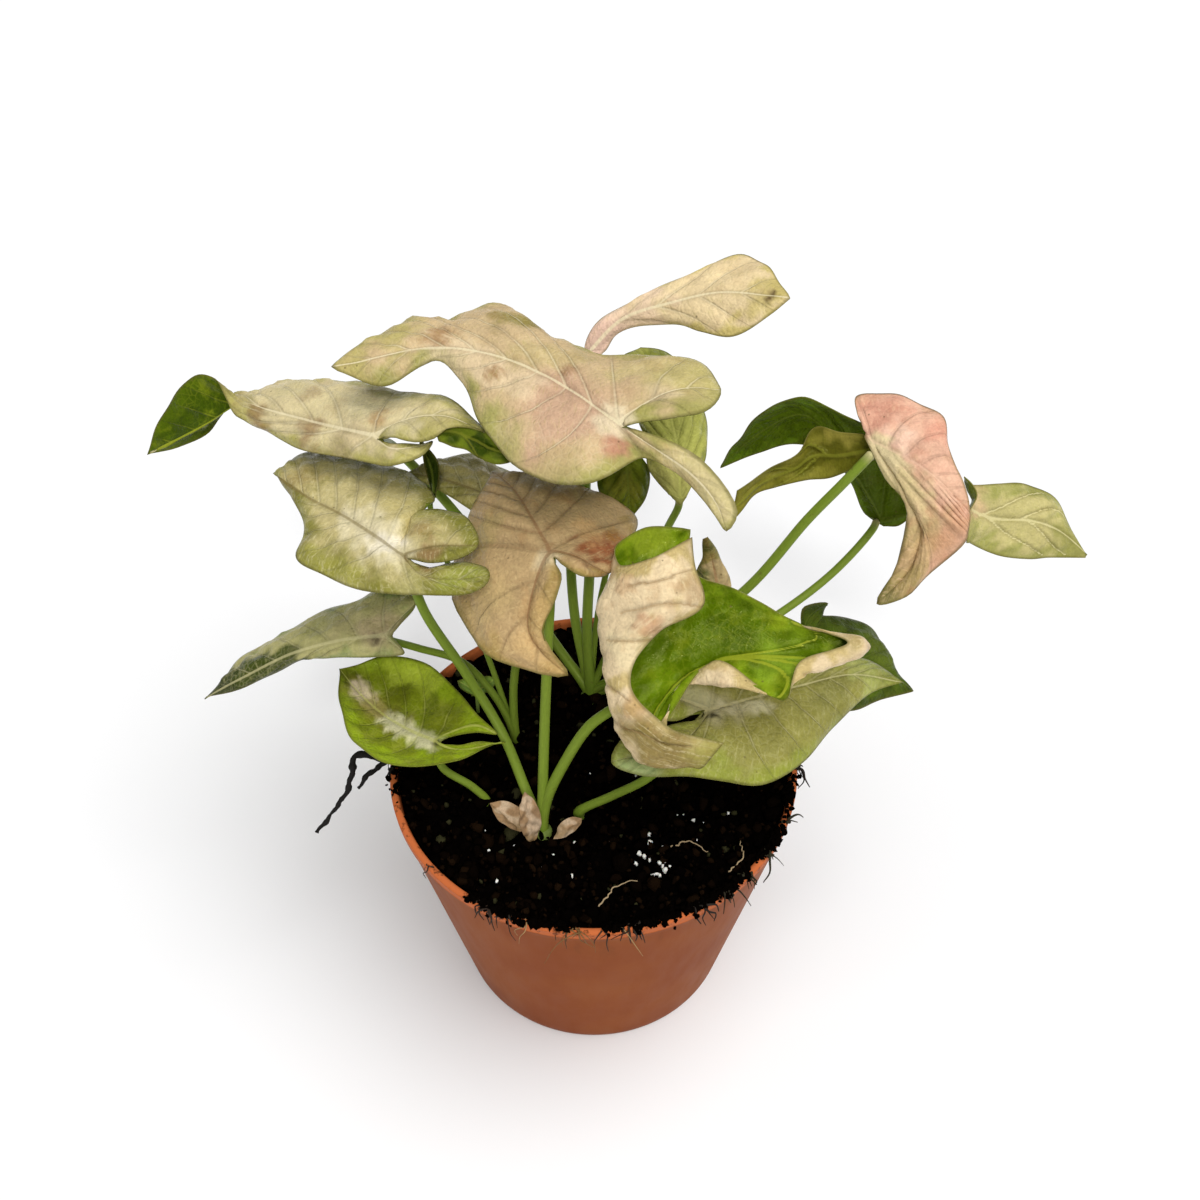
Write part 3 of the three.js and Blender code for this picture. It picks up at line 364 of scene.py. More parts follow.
class Sheet:
    def __init__(self):
        self.points = []
        self.fields = {name: [] for name in FIELDS}
        self.quads = []

    def add_grid(self, grid, fields, face_up):
        rows, columns = grid.shape[:2]
        first = sum(len(points) for points in self.points)
        ids = first + np.arange(rows * columns).reshape(rows, columns)
        corners = [ids[:-1, :-1], ids[:-1, 1:], ids[1:, 1:], ids[1:, :-1]]
        quads = np.stack(corners if face_up else corners[::-1], axis=-1).reshape(-1, 4)
        self.quads.append(quads)
        self.points.append(grid.reshape(-1, 3))
        for name in FIELDS:
            self.fields[name].append(fields[name].reshape(-1, 3))

    def weld(self):
        """Joins points that meet. Faces keep their own unwelded corners for fields that jump at a seam."""
        raw = np.concatenate(self.points)
        self.corner_fields = {name: np.concatenate(self.fields[name]) for name in FIELDS}
        near = np.round(raw, WELD_DECIMALS)
        _, keep, self.weld_of = np.unique(near, axis=0, return_index=True, return_inverse=True)
        self.weld_of = self.weld_of.reshape(-1)
        self.vertices = raw[keep]
        count = np.bincount(self.weld_of, minlength=len(keep))[:, None]
        self.vertex_fields = {}
        for name in FIELDS:
            total = np.zeros((len(keep), 3))
            np.add.at(total, self.weld_of, self.corner_fields[name])
            self.vertex_fields[name] = total / count
        self.faces = []
        for quad in np.concatenate(self.quads):
            ring = []
            for corner in quad:
                if self.weld_of[corner] not in [self.weld_of[other] for other in ring]:
                    ring.append(corner)
            if len(ring) > 2:
                self.faces.append(ring)
        return self

    def edges(self):
        pairs = []
        for ring in self.faces:
            ids = self.weld_of[ring]
            pairs.extend(zip(ids, np.roll(ids, -1)))
        return np.array(pairs)

    def boundary(self):
        """Directed edges that only one face has."""
        pairs = [tuple(pair) for pair in self.edges()]
        known = set(pairs)
        return [(a, b) for a, b in pairs if (b, a) not in known]

    def smooth(self, passes):
        edges = self.edges()
        rim = np.zeros(len(self.vertices), bool)
        rim[[i for pair in self.boundary() for i in pair]] = True
        ends = np.concatenate([edges, edges[:, ::-1]])
        count = np.bincount(ends[:, 0], minlength=len(self.vertices))[:, None]
        for _ in range(passes):
            total = np.zeros_like(self.vertices)
            np.add.at(total, ends[:, 0], self.vertices[ends[:, 1]])
            moved = 0.5 * self.vertices + 0.5 * total / np.maximum(count, 1)
            self.vertices = np.where(rim[:, None], self.vertices, moved)
        return self

    def normals(self):
        total = np.zeros_like(self.vertices)
        for ring in self.faces:
            ids = self.weld_of[ring]
            p = self.vertices[ids]
            normal = np.cross(p[1] - p[0], p[2] - p[0])
            if len(ids) == 4:
                normal = normal + np.cross(p[2] - p[0], p[3] - p[0])
            total[ids] += normal
        return unit(total)

    def raise_by(self, heights):
        self.vertices = self.vertices + self.normals() * heights[:, None]


# ---- leaf blades ----
def margin_run(margin, at):
    """The way a margin runs at the shares `at`, the same for the regions on both sides of a share."""
    after, before = np.minimum(at + NUDGE, 1), np.maximum(at - NUDGE, 0)
    return smooth_path(margin, after) - smooth_path(margin, before)


def side_regions(leaf, frame, side):
    """The three grids of one side of a blade: out along its lobe, back to its shoulder, on to the tip."""
    shape = leaf[side]
    hub = frame.place([0, 0, 0])
    spine = np.vstack([[hub], frame.place(leaf["midrib"]), [frame.place(leaf["tip"])]])
    sinus = hub - SINUS_DEPTH * unit(spine[1] - hub)
    margin = np.vstack([[sinus], frame.place(shape["margin"]), spine[-1:]])
    lobe, shoulder = shape["lobe"], shape["shoulder"]
    ribs = [[frame.place(point)] for point in shape["rib"]]
    lobe_rib = np.vstack([[hub], *ribs, [margin[lobe + 1]]])
    shares = knot_shares(margin)
    at_lobe, at_shoulder = shares[lobe + 1], shares[shoulder + 1]
    out = np.linspace(0, 1, LOBE_STEPS + 1)
    on = np.linspace(0, 1, BLADE_STEPS + 1)
    parts = [
        ("out", out, smooth_path(lobe_rib, out), out * at_lobe),
        ("back", 1 - out, smooth_path(lobe_rib, 1 - out), at_lobe + out * (at_shoulder - at_lobe)),
        ("on", on, smooth_path(spine, on), at_shoulder + on * (1 - at_shoulder)),
    ]
    return [(name, share, root, smooth_path(margin, at), margin_run(margin, at))
            for name, share, root, at in parts]


def region_grid(region, sign, arch):
    """Points of one region: straight rulings from rib to margin, arched up between them."""
    name, _, root, end, run = region
    ruling = end - root
    length = np.linalg.norm(ruling, axis=1)
    bulge = unit(np.cross(run, ruling)) * (sign * arch * length)[:, None]
    if name == "out":
        bulge[0] = 0
    across = np.linspace(0, 1, ACROSS_STEPS + 1)
    rise = 4 * across * (1 - across)
    grid = root[:, None] + ruling[:, None] * across[None, :, None] + bulge[:, None] * rise[None, :, None]
    return grid, length, across


def region_fields(region, grid, length, across, veins, lobe_veins):
    name, share, root = region[:3]
    u, v = share[:, None], across[None, :]
    sweep = VEIN_SWEEP * v * 3 * u * (1 - u)
    phase = veins * (u - sweep) if name == "on" else -lobe_veins * (u - sweep)
    widest, narrowest = MIDRIB_WIDTHS if name == "on" else LOBE_RIB_WIDTHS
    rib_width = widest + (narrowest - widest) * u
    vein_width = SIDE_VEIN_WIDTH * (1 - 0.7 * v) * (1 - 0.4 * u)
    rib_distance = v * length[:, None]
    sharpness = phase_spacing(grid, phase) / vein_width
    lines = np.stack([phase, sharpness, np.minimum(rib_distance / rib_width, FAR)], axis=-1)
    margin_distance = (1 - v) * length[:, None]
    form = np.stack([margin_distance, rib_distance, 0 * rib_distance], axis=-1)
    run = run_along(root)
    along = (run if name == "on" else -run)[:, None] + 0 * v
    grain = np.stack([along, rib_distance, 0 * rib_distance], axis=-1)
    return {"lines": lines, "form": form, "grain": grain}


def leaf_sheet(leaf, veins):
    frame = LeafFrame(leaf["hub"], leaf["turn"])
    sheet = Sheet()
    for side, sign in (("left", 1), ("right", -1)):
        regions = side_regions(leaf, frame, side)
        lobe_length = run_along(regions[0][2])[-1]
        lobe_veins = max(1, round(lobe_length / LOBE_VEIN_SPACING))
        for region in regions:
            grid, length, across = region_grid(region, sign, leaf[side]["arch"])
            fields = region_fields(region, grid, length, across, veins, lobe_veins)
            sheet.add_grid(grid, fields, face_up=side == "right")
    return frame, sheet.weld().smooth(SMOOTHING_PASSES)


def vein_lines(table, surface):
    """Points and widths along each vein of a curled sheet, from shares of its rows and columns."""
    lines = []
    last = np.array(surface.shape[:2]) - 1
    for widths, points in table:
        shares = smooth_path(points, np.linspace(0, 1, VEIN_POINTS))
        row, column = np.clip(np.round(shares * last).astype(int), 0, last).T
        lines.append((surface[row, column], np.linspace(*widths, VEIN_POINTS)))
    return lines


def distance_in_widths(points, lines):
    """Distance from each point to the nearest vein, in widths of that vein."""
    nearest = np.full(len(points), FAR)
    for line, width in lines:
        for start, end, thick in zip(line[:-1], line[1:], width):
            run = end - start
            share = np.clip(((points - start) @ run) / max(run @ run, TINY), 0, 1)
            gap = np.linalg.norm(points - start - share[:, None] * run, axis=1)
            nearest = np.minimum(nearest, gap / thick)
    return nearest


def curled_sheet(table, steps):
    """A sheet through the rows of a table, with so many steps along and across."""
    frame = LeafFrame(table["hub"], table["turn"])
    along, across = (np.linspace(0, 1, count + 1) for count in steps)
    rows = np.array([smooth_path(frame.place(row), across) for row in table["rows"]])
    surface = np.stack([smooth_path(rows[:, i], along) for i in range(len(across))])
    flat = surface.reshape(-1, 3)
    ribs = distance_in_widths(flat, vein_lines(table["veins"], surface))
    lines = np.stack([np.full(len(flat), 0.5), np.full(len(flat), FAR), ribs], axis=-1)
    edge = np.vstack([surface[0], surface[-1], surface[:, 0], surface[:, -1]])
    margin_distance = np.array([np.linalg.norm(edge - point, axis=1).min() for point in flat])
    hub_distance = np.linalg.norm(flat - frame.place(table["vein_hub"]), axis=1)
    form = np.stack([margin_distance, ribs, 0 * ribs], axis=-1)
    gaps = np.linalg.norm(np.diff(surface, axis=0), axis=2)
    run = np.vstack([np.zeros(gaps.shape[1]), np.cumsum(gaps, axis=0)])
    grain = np.stack([run.reshape(-1), hub_distance, 0 * ribs], axis=-1)
    fields = {"lines": lines, "form": form, "grain": grain}
    sheet = Sheet()
    sheet.add_grid(surface, {name: field.reshape(surface.shape) for name, field in fields.items()},
                   not table["face_up"])
    return frame, sheet.weld()


# ---- leaves: hub and turn place the leaf; points are (along, across, up) in its own frame ----
def side(lobe, shoulder, arch, margin, rib=()):
    """One side of a blade: its margin from the sinus to the tip, with the places in it of the lobe's tip and
    of the shoulder, the height of its arch and the inner points of the lobe's rib."""
    return {"lobe": lobe, "shoulder": shoulder, "arch": arch, "margin": margin, "rib": rib}


def blade(hub, turn, tip, midrib, left, right):
    return {"hub": hub, "turn": turn, "tip": tip, "midrib": midrib, "left": left, "right": right}


LEAVES = {
    # the big cream leaf on top, its front lobe hanging in a narrow curl
    "leaf_top": blade(
        (6, 18, 190), (153, -5, -10), (88.5, 0, -0.5), [(21, -10, 0), (43, -14, 2), (62.5, -12, 2)],
        side(3, 7, 0.07, [(-6.5, 0.5, 0), (-23, 2.5, -3), (-35, 9.5, -11.5), (-33.5, 13.5, -14.5),
             (-30.5, 12, -12.5), (-26, 9, -10), (-16.5, 5, -6), (-9, 4.5, -5), (1, 16.5, -6),
             (19.5, 16, -7), (37.5, 5.5, -5), (51, -6.5, -2), (60, -10.5, 0), (72.5, -0.5, -4)],
             [(-22.5, 6.5, -5), (-30, 9.5, -10.5)]),
        side(3, 5, 0.09, [(-6, -1.5, 1), (-13.5, -5, 1), (-19.5, -10, 0), (-18.5, -22.5, -3),
             (-4, -35.5, -6), (18.5, -32, -7), (38, -35, -7), (61.5, -43, -5), (72, -31, -4.5),
             (82, -28.5, -3.5), (87, -11.5, -1.5)], [(-8.5, -15, 0)])),
    # the long leaf at the left, whose tip rolls over and shows its green underside
    "leaf_left": blade(
        (-61, 45, 168), (160, -17, -12), (86.5, 0.5, -0.5), [(21, -5.5, 1), (41.5, -11, 3),
        (55, -14.5, 3.5), (63, -9, 2.5), (72.5, -4.5, 1.5)],
        side(2, 5, 0.05, [(-8, 2.2, -1.8), (-14, 1, -2.5), (-18.5, 0.5, -2.8), (-16.5, 5.5, -3),
             (-10.5, 9, -3), (11, 3.5, -4), (28, 0, -3), (48, -9.5, -1.5), (51.5, -8, 4.5), (56, -13, 8.5),
             (62.5, -19, 11.5), (68, -19.5, 12.5), (76.5, -15, 9.5), (83.5, -8.5, 4.5)], [(-9, 4.5, -1.5)]),
        side(6, 8, 0.1, [(-8, 1.8, 0.4), (-12, 2.8, 0), (-16.5, 3, -0.5), (-21, 2, -0.8), (-24.5, -0.5, 0),
             (-28.5, -1.5, 0), (-35, 0, -2), (-20.5, -13.5, -1.5), (2.5, -22, -3), (28.5, -31, -4),
             (53, -33.5, -4.5), (58.5, -24.5, -1.5), (66, -25, -0.5), (67.5, -18, -1.5), (69, -9.5, -2.5),
             (79.5, -2.5, -1.5)], [(-11, -5, 1), (-23, -5.5, 0)])),
    # the mottled leaf under it, torn at its back margin
    "leaf_mottled": blade(
        (-50, 9, 155), (134, -7, -8), (66.5, -0.5, 0), [(13.5, 0, 1), (28.5, 0, 1), (43, 1, 1)],
        side(4, 7, 0.08, [(-6, -1.5, -1.5), (-10.5, -6.5, -2.4), (-16, -9.8, -2.2), (-22, -10.5, -1.4),
             (-26.5, -8.5, -1), (-28, -5.5, -1), (-26, -2, -1.5), (-12, 6, -3), (3, 13, -4), (18, 15.5, -4),
             (29, 16, -4), (35, 10, -3), (46.5, 3.5, -1), (56.5, 0.5, -1)], [(-10, 1.5, -1.5),
             (-20, -4, -1.5)]),
        side(2, 5, 0.08, [(-9.5, -2.5, 1), (-14.5, -8, 0), (-14.5, -14.5, 0), (-4, -20, -1), (9, -19.5, -2),
             (15, -15.5, -1), (15, -22, -3), (29, -26.5, -4), (46.5, -26.5, -5), (66, -21, -5),
             (71.5, -12, -3)], [(-6, -7.5, 0.5), (-11, -11.5, 0)])),
    # a dark young leaf still folded, standing behind the mottled one
    "leaf_spear": blade(
        (-46, 44, 148), (-109, 80, 0), (21, 0, 0), [(11, 1, 0.5)],
        side(0, 1, 0.1, [(0.5, 1, 0), (6, 2, 0.5), (13.5, 3, 1), (18.5, 1, 0.5)]),
        side(0, 1, 0.1, [(0.5, -1, 0), (6, -1, 0.5), (12, -1, 0.5)])),
    "leaf_lower_left": blade(
        (-59, 13, 122), (-178, -23, -10), (61.5, 0, 0), [(13.5, -2, 2), (29.5, -2.5, 3), (45.5, -1, 2)],
        side(1, 2, 0.06, [(-3.5, 3.5, 0), (-5.5, 7.5, -1), (4.5, 4, -3), (24.5, -3.5, -3), (35.5, -4, -3),
             (49.5, 0, -1)]),
        side(1, 3, 0.08, [(-5, -1, 1), (-10.5, -7, 1), (-5, -14, 0), (-0.5, -17, 0), (10.5, -19, -2),
             (31, -18.5, -3), (48, -13.5, -2)])),
    # the small bright leaf low on the left, dished along its midrib
    "leaf_small_green": blade(
        (-45, -8, 101), (137, -3, 0), (44, 0, 0.5), [(10.5, 1, -2), (22, 1.5, -3), (34, 1, -2)],
        side(2, 5, -0.1, [(-5.5, -2.5, 0), (-11, -8, 1), (-15.5, -13, -1), (-13, -6.5, 1), (-11, 2, 1),
             (-7.5, 7.5, 1), (3, 15, 1), (16, 15.5, 1), (29.5, 10, 1)], [(-6, -1, 0), (-12, -7, 0.5)]),
        side(2, 4, -0.1, [(-2.5, -4, 0), (-7, -10, 0), (-12, -13.5, 0), (-3.5, -14, 2), (8, -16, 3),
             (24, -17.5, 3), (36.5, -11, 2.5), (40.5, -4, 1.5)], [(-1, -5, 0), (-5.5, -11.5, 1)])),
    # the peach leaf in the middle: tip away, both lobes toward the front, one hanging down
    "leaf_centre": blade(
        (-11, 5, 160), (115, -3, 0), (42, 0, 0), [(8.5, 0.5, 3), (24.5, -0.5, 3)],
        side(3, 8, 0.1, [(-10.5, 1.5, -1), (-13, 4, -5), (-14.5, 9, -13), (-22, 5.5, -23), (-15, 16, -22),
             (-8.5, 22.5, -20), (1.5, 23, -20), (16, 23, -18), (30, 16, -14), (34, 11, -8), (36, 6, -3)],
             [(-6, 7, -6), (-11.5, 11.5, -15)]),
        side(2, 4, 0.08, [(-7, -0.5, 1), (-13, -2.5, 0), (-8.5, -12.5, -6), (4, -24.5, -9), (12, -31, -8),
             (24.5, -25.5, -4), (33, -12.5, -1)], [(-6, -5, 0), (-9, -9, -3)])),
    # the narrow leaf that stands out behind the top one
    "leaf_flag": blade(
        (-1, 65, 183), (-8, 20, 15), (57.5, 0, 0.5), [(10.5, 5.5, 3.5), (25.5, 7, 3.5), (39, 7, 2.5)],
        side(0, 1, 0.05, [(-1.5, 1.5, 0), (0, 5, 0.5), (4, 9, 1.5), (15, 13, 2.5), (25, 17, 2.5),
             (34.5, 20, 1.5), (44, 24.5, -0.5), (51.5, 16, -0.5)]),
        side(0, 1, 0.06, [(1.5, -1.5, -1), (4, 0, -1.5), (8.5, 4, -0.5), (21, 5.5, -1.5),
             (31.5, -0.5, -2.5), (41, -4.5, -3.5), (51.5, -2, -1.5)])),
    "leaf_behind": blade(
        (-13, 30, 150), (150, -2, 5), (50, 0, 0), [(15, 1, 2), (33.5, -0.5, 2)],
        side(0, 1, 0.05, [(-5.5, 2, 0), (0.5, 8, -2), (10, 8.5, -2), (22.5, 5, -1), (35, 2.5, 0)]),
        side(0, 1, 0.05, [(2, -10, -1), (12, -18, -3), (30, -22.5, -4), (41, -26, -4), (47, -17, -2)])),
    "leaf_upright": blade(
        (24, 32, 156), (102, 22, 0), (52.5, 0, 0.5), [(13.5, -2.5, 1), (34, -3, 1)],
        side(0, 1, 0.1, [(1.5, 2.5, 0), (11.5, 6, -2), (26, 4.5, -3), (41, 7, -1.5), (51, 6, -0.5)]),
        side(0, 1, 0.1, [(0.5, -2, 0), (12, -10, -2), (25, -14, -3), (38.5, -12, -1.5), (50, -8, -0.5)])),
    "leaf_hanging": blade(
        (9, 49, 160), (-77, -51, 4), (19, 0, -7), [(8, -0.5, 1)],
        side(0, 1, 0.08, [(0, 2, 0), (6, 6, -1), (13.5, 4.5, -3)]),
        side(0, 1, 0.08, [(0, -2.5, 0), (5.5, -8.5, -1), (13.5, -7.5, -3)])),
    # the pink leaf at the right, up to its fold: one lobe hangs toward the front; its tip and its other
    # lobe are sheets of their own
    "leaf_pink": blade(
        (75, 37, 172), (-17, -23, 10), (30, -12.5, 5.5), [(15.5, -7.5, 6.5)],
        side(0, 2, 0.06, [(-2, 2, 0), (-6, 6.5, 0), (-7.5, 12.5, -0.5), (1.5, 17.5, 3.5), (8.5, 16.5, 6),
             (14.5, 12.5, 8.5), (18, 4, 8), (21.5, -3, 9), (24, -6, 9), (27.5, -9.5, 7.5)]),
        side(3, 6, 0.1, [(7.5, -9, -1), (16, -13.5, -2), (21.5, -24, -11.5), (20.5, -36, -16.5),
             (26, -32, -13.5), (30, -23, -8.5), (32.5, -17.5, 1), (31.5, -15.5, 3)], [(9, -7.5, 1),
             (20.5, -14, -2), (25, -24, -10.5)])),
    "leaf_dark_back": blade(
        (86, 49, 135), (166, 11, 80), (50.5, 0.5, 0.5), [(17, 18.5, 0.5), (32.5, 29.5, 2.5),
        (43.5, 16.5, 2.5)],
        side(1, 3, 0.1, [(-5.5, 1, 0), (-7, 7, 0), (-1, 25.5, -2), (11, 35.5, -1.5), (22.5, 34.5, 0.5),
             (35.5, 36.5, 0.5), (44, 28, 0.5), (48.5, 11.5, 0.5)]),
        side(0, 1, 0.05, [(4.5, -0.5, 0.5), (13.5, 11.5, 0.5), (22, 19, 0.5), (32, 18.5, 1.5),
             (41, 10.5, 1.5)])),
    # the flat grey-green leaf at the front right
    "leaf_front": blade(
        (32, -12, 118), (19, -9, 0), (62, 0.5, -0.5), [(14.5, 1.5, 1), (27.5, 2.5, 2), (45, 4, 2)],
        side(3, 6, 0.06, [(-4, 0.5, -1), (-11, 0.5, -2), (-16.5, 4, -3), (-18.5, 12, -1.5), (-16, 18, 0),
             (-7, 24.5, 1), (13, 24.5, 2), (31, 18, 2), (46, 12, 2), (56.5, 9.5, 0.5)], [(-5, 5, -0.5),
             (-12, 9, -1)]),
        side(4, 6, 0.1, [(-4.5, -1.5, 0), (-12, -2, 0), (-22, -3.5, -1.2), (-26.5, -3.5, -1.2),
             (-32, -9.5, -3), (-26.5, -15.5, -3), (-13.5, -18.5, -3), (-5, -21, -4), (5, -23.5, -5),
             (20, -18.5, -5), (35, -9, -4), (49.5, -1, -2)], [(-10, -8, -0.5), (-21, -10, -1.5)])),
    # the dark leaf under it, with a decaying, curled back lobe
    "leaf_dark_side": blade(
        (64, 29, 98), (-4, -21, 5), (39, 0.5, 0), [(12.5, 4, 2), (26.5, 4, 2)],
        side(2, 3, 0.08, [(-1, 9.5, 1), (-0.5, 18, 3), (8, 22.5, 4), (5.5, 16.5, 3), (16, 20.5, 2),
             (25.5, 20, 1), (31, 12, 0)], [(0.5, 12.5, 3)]),
        side(0, 1, 0.08, [(-4, -8, 0), (3, -17.5, -1), (17, -14, -2), (29, -5.5, -1)])),
    "leaf_new": blade(
        (34, 13, 132), (115, 53, -3), (21, 0, 5.5), [(5.5, -1.5, 1), (13.5, -2, 1)],
        side(0, 1, 0.2, [(1, 2, 0), (5.5, 4, -2), (11, 2, -2), (15.5, -0.5, 1)]),
        side(0, 1, 0.3, [(0, -2.5, 0), (4, -5.5, -2), (9, -6, -2), (15, -4, 1)])),
}

# veins of the curled sheets: width at the start and end in millimetres, then points as shares across a row
# and from row to row
ROLLED_VEINS = [
    ((0.9, 0.4), [(0.61, 0.59), (0.68, 0.58), (0.755, 0.575), (0.9, 0.5)]),
    ((0.8, 0.3), [(0.61, 0.59), (0.73, 0.6), (0.845, 0.63), (0.93, 0.64)]),
    ((0.7, 0.3), [(0.61, 0.59), (0.78, 0.65), (0.95, 0.72)]),
    ((0.5, 0.25), [(0.61, 0.59), (0.57, 0.68), (0.53, 0.83)]),
    ((0.4, 0.2), [(0.61, 0.59), (0.72, 0.5), (0.9, 0.36)]),
    ((0.4, 0.25), [(0.25, 0.235), (0.14, 0.225), (0.0, 0.255)]),
    ((0.4, 0.25), [(0.24, 0.345), (0.15, 0.37), (0.06, 0.4), (0.0, 0.43)]),
    ((0.3, 0.2), [(0.27, 0.12), (0.16, 0.13), (0.02, 0.12)]),
    ((0.35, 0.2), [(0.25, 0.5), (0.14, 0.58), (0.05, 0.68)]),
    ((0.35, 0.2), [(0.25, 0.68), (0.15, 0.78), (0.1, 0.93)]),
]
BACK_LOBE_VEINS = [
    ((0.7, 0.3), [(0.05, 0.5), (0.4, 0.5), (0.75, 0.55), (0.98, 0.6)]),
    ((0.35, 0.2), [(0.35, 0.5), (0.5, 0.2), (0.62, 0.03)]),
    ((0.35, 0.2), [(0.4, 0.5), (0.55, 0.8), (0.66, 0.97)]),
    ((0.3, 0.2), [(0.6, 0.53), (0.72, 0.25), (0.83, 0.04)]),
]
LEFT_LOBE_VEINS = [
    ((0.5, 0.25), [(0.05, 0.02), (0.4, 0.35), (0.5, 0.7), (0.6, 0.97)]),
    ((0.35, 0.2), [(0.3, 0.3), (0.7, 0.42), (0.95, 0.5)]),
]
TIP_VEINS = [
    ((0.8, 0.3), [(0.4, 0.02), (0.5, 0.3), (0.5, 0.6), (0.5, 0.97)]),
    ((0.4, 0.2), [(0.5, 0.2), (0.25, 0.4), (0.06, 0.6)]),
    ((0.4, 0.2), [(0.5, 0.25), (0.75, 0.45), (0.94, 0.65)]),
    ((0.35, 0.2), [(0.5, 0.45), (0.28, 0.62), (0.1, 0.8)]),
    ((0.35, 0.2), [(0.5, 0.5), (0.72, 0.68), (0.9, 0.82)]),
]


def curled(hub, heading, face_up, vein_hub, veins, rows):
    return {"hub": hub, "turn": (0, 0, heading), "face_up": face_up, "vein_hub": vein_hub, "veins": veins,
            "rows": rows}


# each row runs from the free margin, round the bend, to the far end
ROLLED_LEAF = curled((34, -15, 142), 48, True, (-2, -2, -6), ROLLED_VEINS, [
    [(-9, 30, 4.5), (-18.5, 25, 7.5), (-27, 23, 3), (-27, 28.5, -5), (-20.5, 33, -7.5), (-11.5, 33, -7.5),
     (-8.5, 32.5, -7.5)],
    [(-8.5, 22, 6.5), (-20, 20, 9.5), (-29.5, 17.5, 3.5), (-27.5, 20.5, -6), (-21.5, 23, -8.5),
     (-12.5, 23, -8.5), (-8.5, 22.5, -7.5)],
    [(-6.5, 13, 8.5), (-18.5, 13.5, 10.5), (-32, 12, 2.5), (-27.5, 14, -7.5), (-16.5, 14, -9.5),
     (-2, 14.5, -8.5), (5, 16, -6.5)],
    [(-17.5, 6, 8.5), (-24, 4.5, 9.5), (-31.5, 3.5, 2.5), (-26, 4.5, -7.5), (-8.5, 6.5, -8.5),
     (11.5, 9.5, -6.5), (20.5, 7.5, -5.5)],
    [(-23.5, -1, 8.5), (-27, -2.5, 7.5), (-30.5, -4, 2.5), (-23, -4, -7.5), (-2, 0, -7.5), (36.5, 2, -1.5),
     (30.5, 3.5, 1.5)],
    [(-24.5, -6.5, 8.5), (-27, -8, 7.5), (-29.5, -10.5, 2.5), (-23, -9.5, -5.5), (-2.5, -2.5, -5.5),
     (22, -3.5, 2.5), (18, -1.5, 4.5)],
    [(-22, -11, 8.5), (-25, -13.5, 7.5), (-28, -16.5, 2.5), (-22, -15, -3.5), (-6.5, -5.5, -3.5),
     (11, -9.5, 4), (14, -11, 4.5)],
    [(-14.5, -17.5, 8.5), (-18, -21, 7.5), (-22, -26, 3.5), (-20.5, -20.5, -0.5), (-16.5, -13.5, -1.5),
     (-9, -5.5, -2.5), (-2.5, -1.5, -2.5)],
    [(-1.5, -21, 8.5), (-4, -24, 8.5), (-7.5, -28, 5.5), (-11.5, -25.5, 3.5), (-17, -20.5, 1.5),
     (-18, -18.5, 1), (-15, -15.5, 0.5)],
])
# the left leaf's back lobe beyond its crest, turned under so that its lower face shows
LEFT_BACK_LOBE = curled((-61, 45, 168), 0, False, (18, -6, 5), LEFT_LOBE_VEINS, [
    [(18.5, -6.2, 5.8), (19, -7, 4.5), (19.5, -7, 3.5)],
    [(22, -6.2, 7.3), (23, -7, 4.5), (23, -8, 2)],
    [(26, -7, 8.2), (26.5, -8.5, 5), (27, -9.5, 2)],
    [(29.5, -8, 8.5), (30.5, -10, 4.5), (31, -12, 1)],
    [(32.5, -9.5, 8), (33.5, -11.5, 4), (35, -14, 0.5)],
    [(36, -10.5, 6), (37.5, -12.5, 3.5), (38.5, -14, 1)],
    [(39, -11.5, 4.5), (40, -12.5, 3), (40.5, -13.5, 2)],
])
# the pink leaf's back lobe, which shows its lower face
PINK_BACK_LOBE = curled((74, 36, 171), 48, False, (8, 0, 4), BACK_LOBE_VEINS, [
    [(10, 2, 3), (-5.5, 4.5, -6), (-12.5, 6, -8), (-17, -0.5, -10), (-24.5, -5, -11), (-34, -11, -11)],
    [(9, 0.5, 3.5), (-5.5, -2, -9), (-12.5, -2, -12), (-17.5, -4.5, -13), (-25.5, -8, -13),
     (-34.5, -15, -12)],
    [(8, -0.5, 4), (-7.5, -7.5, -10), (-14, -8, -13), (-22.5, -10, -14), (-28, -12, -14),
     (-34, -18.5, -12)],
])
# the pink leaf's tip, from the crest of its fold down and on to the point
PINK_TIP = curled((74, 36, 171), 48, True, (24, -12, 9), TIP_VEINS, [
    [(23, -9.5, 9), (26.5, -14, 9.2), (24.5, -19, 10), (24, -23, 9), (23.5, -26.5, 8.5)],
    [(26, -10.5, 4), (26, -14.5, 5), (26.5, -19, 5.5), (26.5, -23, 5), (26.5, -26.5, 4)],
    [(36.5, -10, -3), (36, -15.5, -1), (35.5, -20, 0), (36, -25.5, -1), (36, -29.5, -2)],
    [(46.5, -9.5, -7), (46, -15.5, -4), (45.5, -20.5, -3), (45.5, -26, -3), (45.5, -30.5, -4)],
    [(54.5, -14, -10), (54.5, -18.5, -7.5), (53.5, -23, -6), (52, -27, -6), (51, -30, -6)],
    [(59.5, -23, -9), (60, -25, -8), (60, -26.5, -7.5), (59.5, -28, -7.5), (58, -30, -7.5)],
    [(62.5, -28, -8.5), (62.7, -28.5, -8.2), (63, -29, -8), (62.7, -29.5, -8), (62.5, -30, -8)],
])

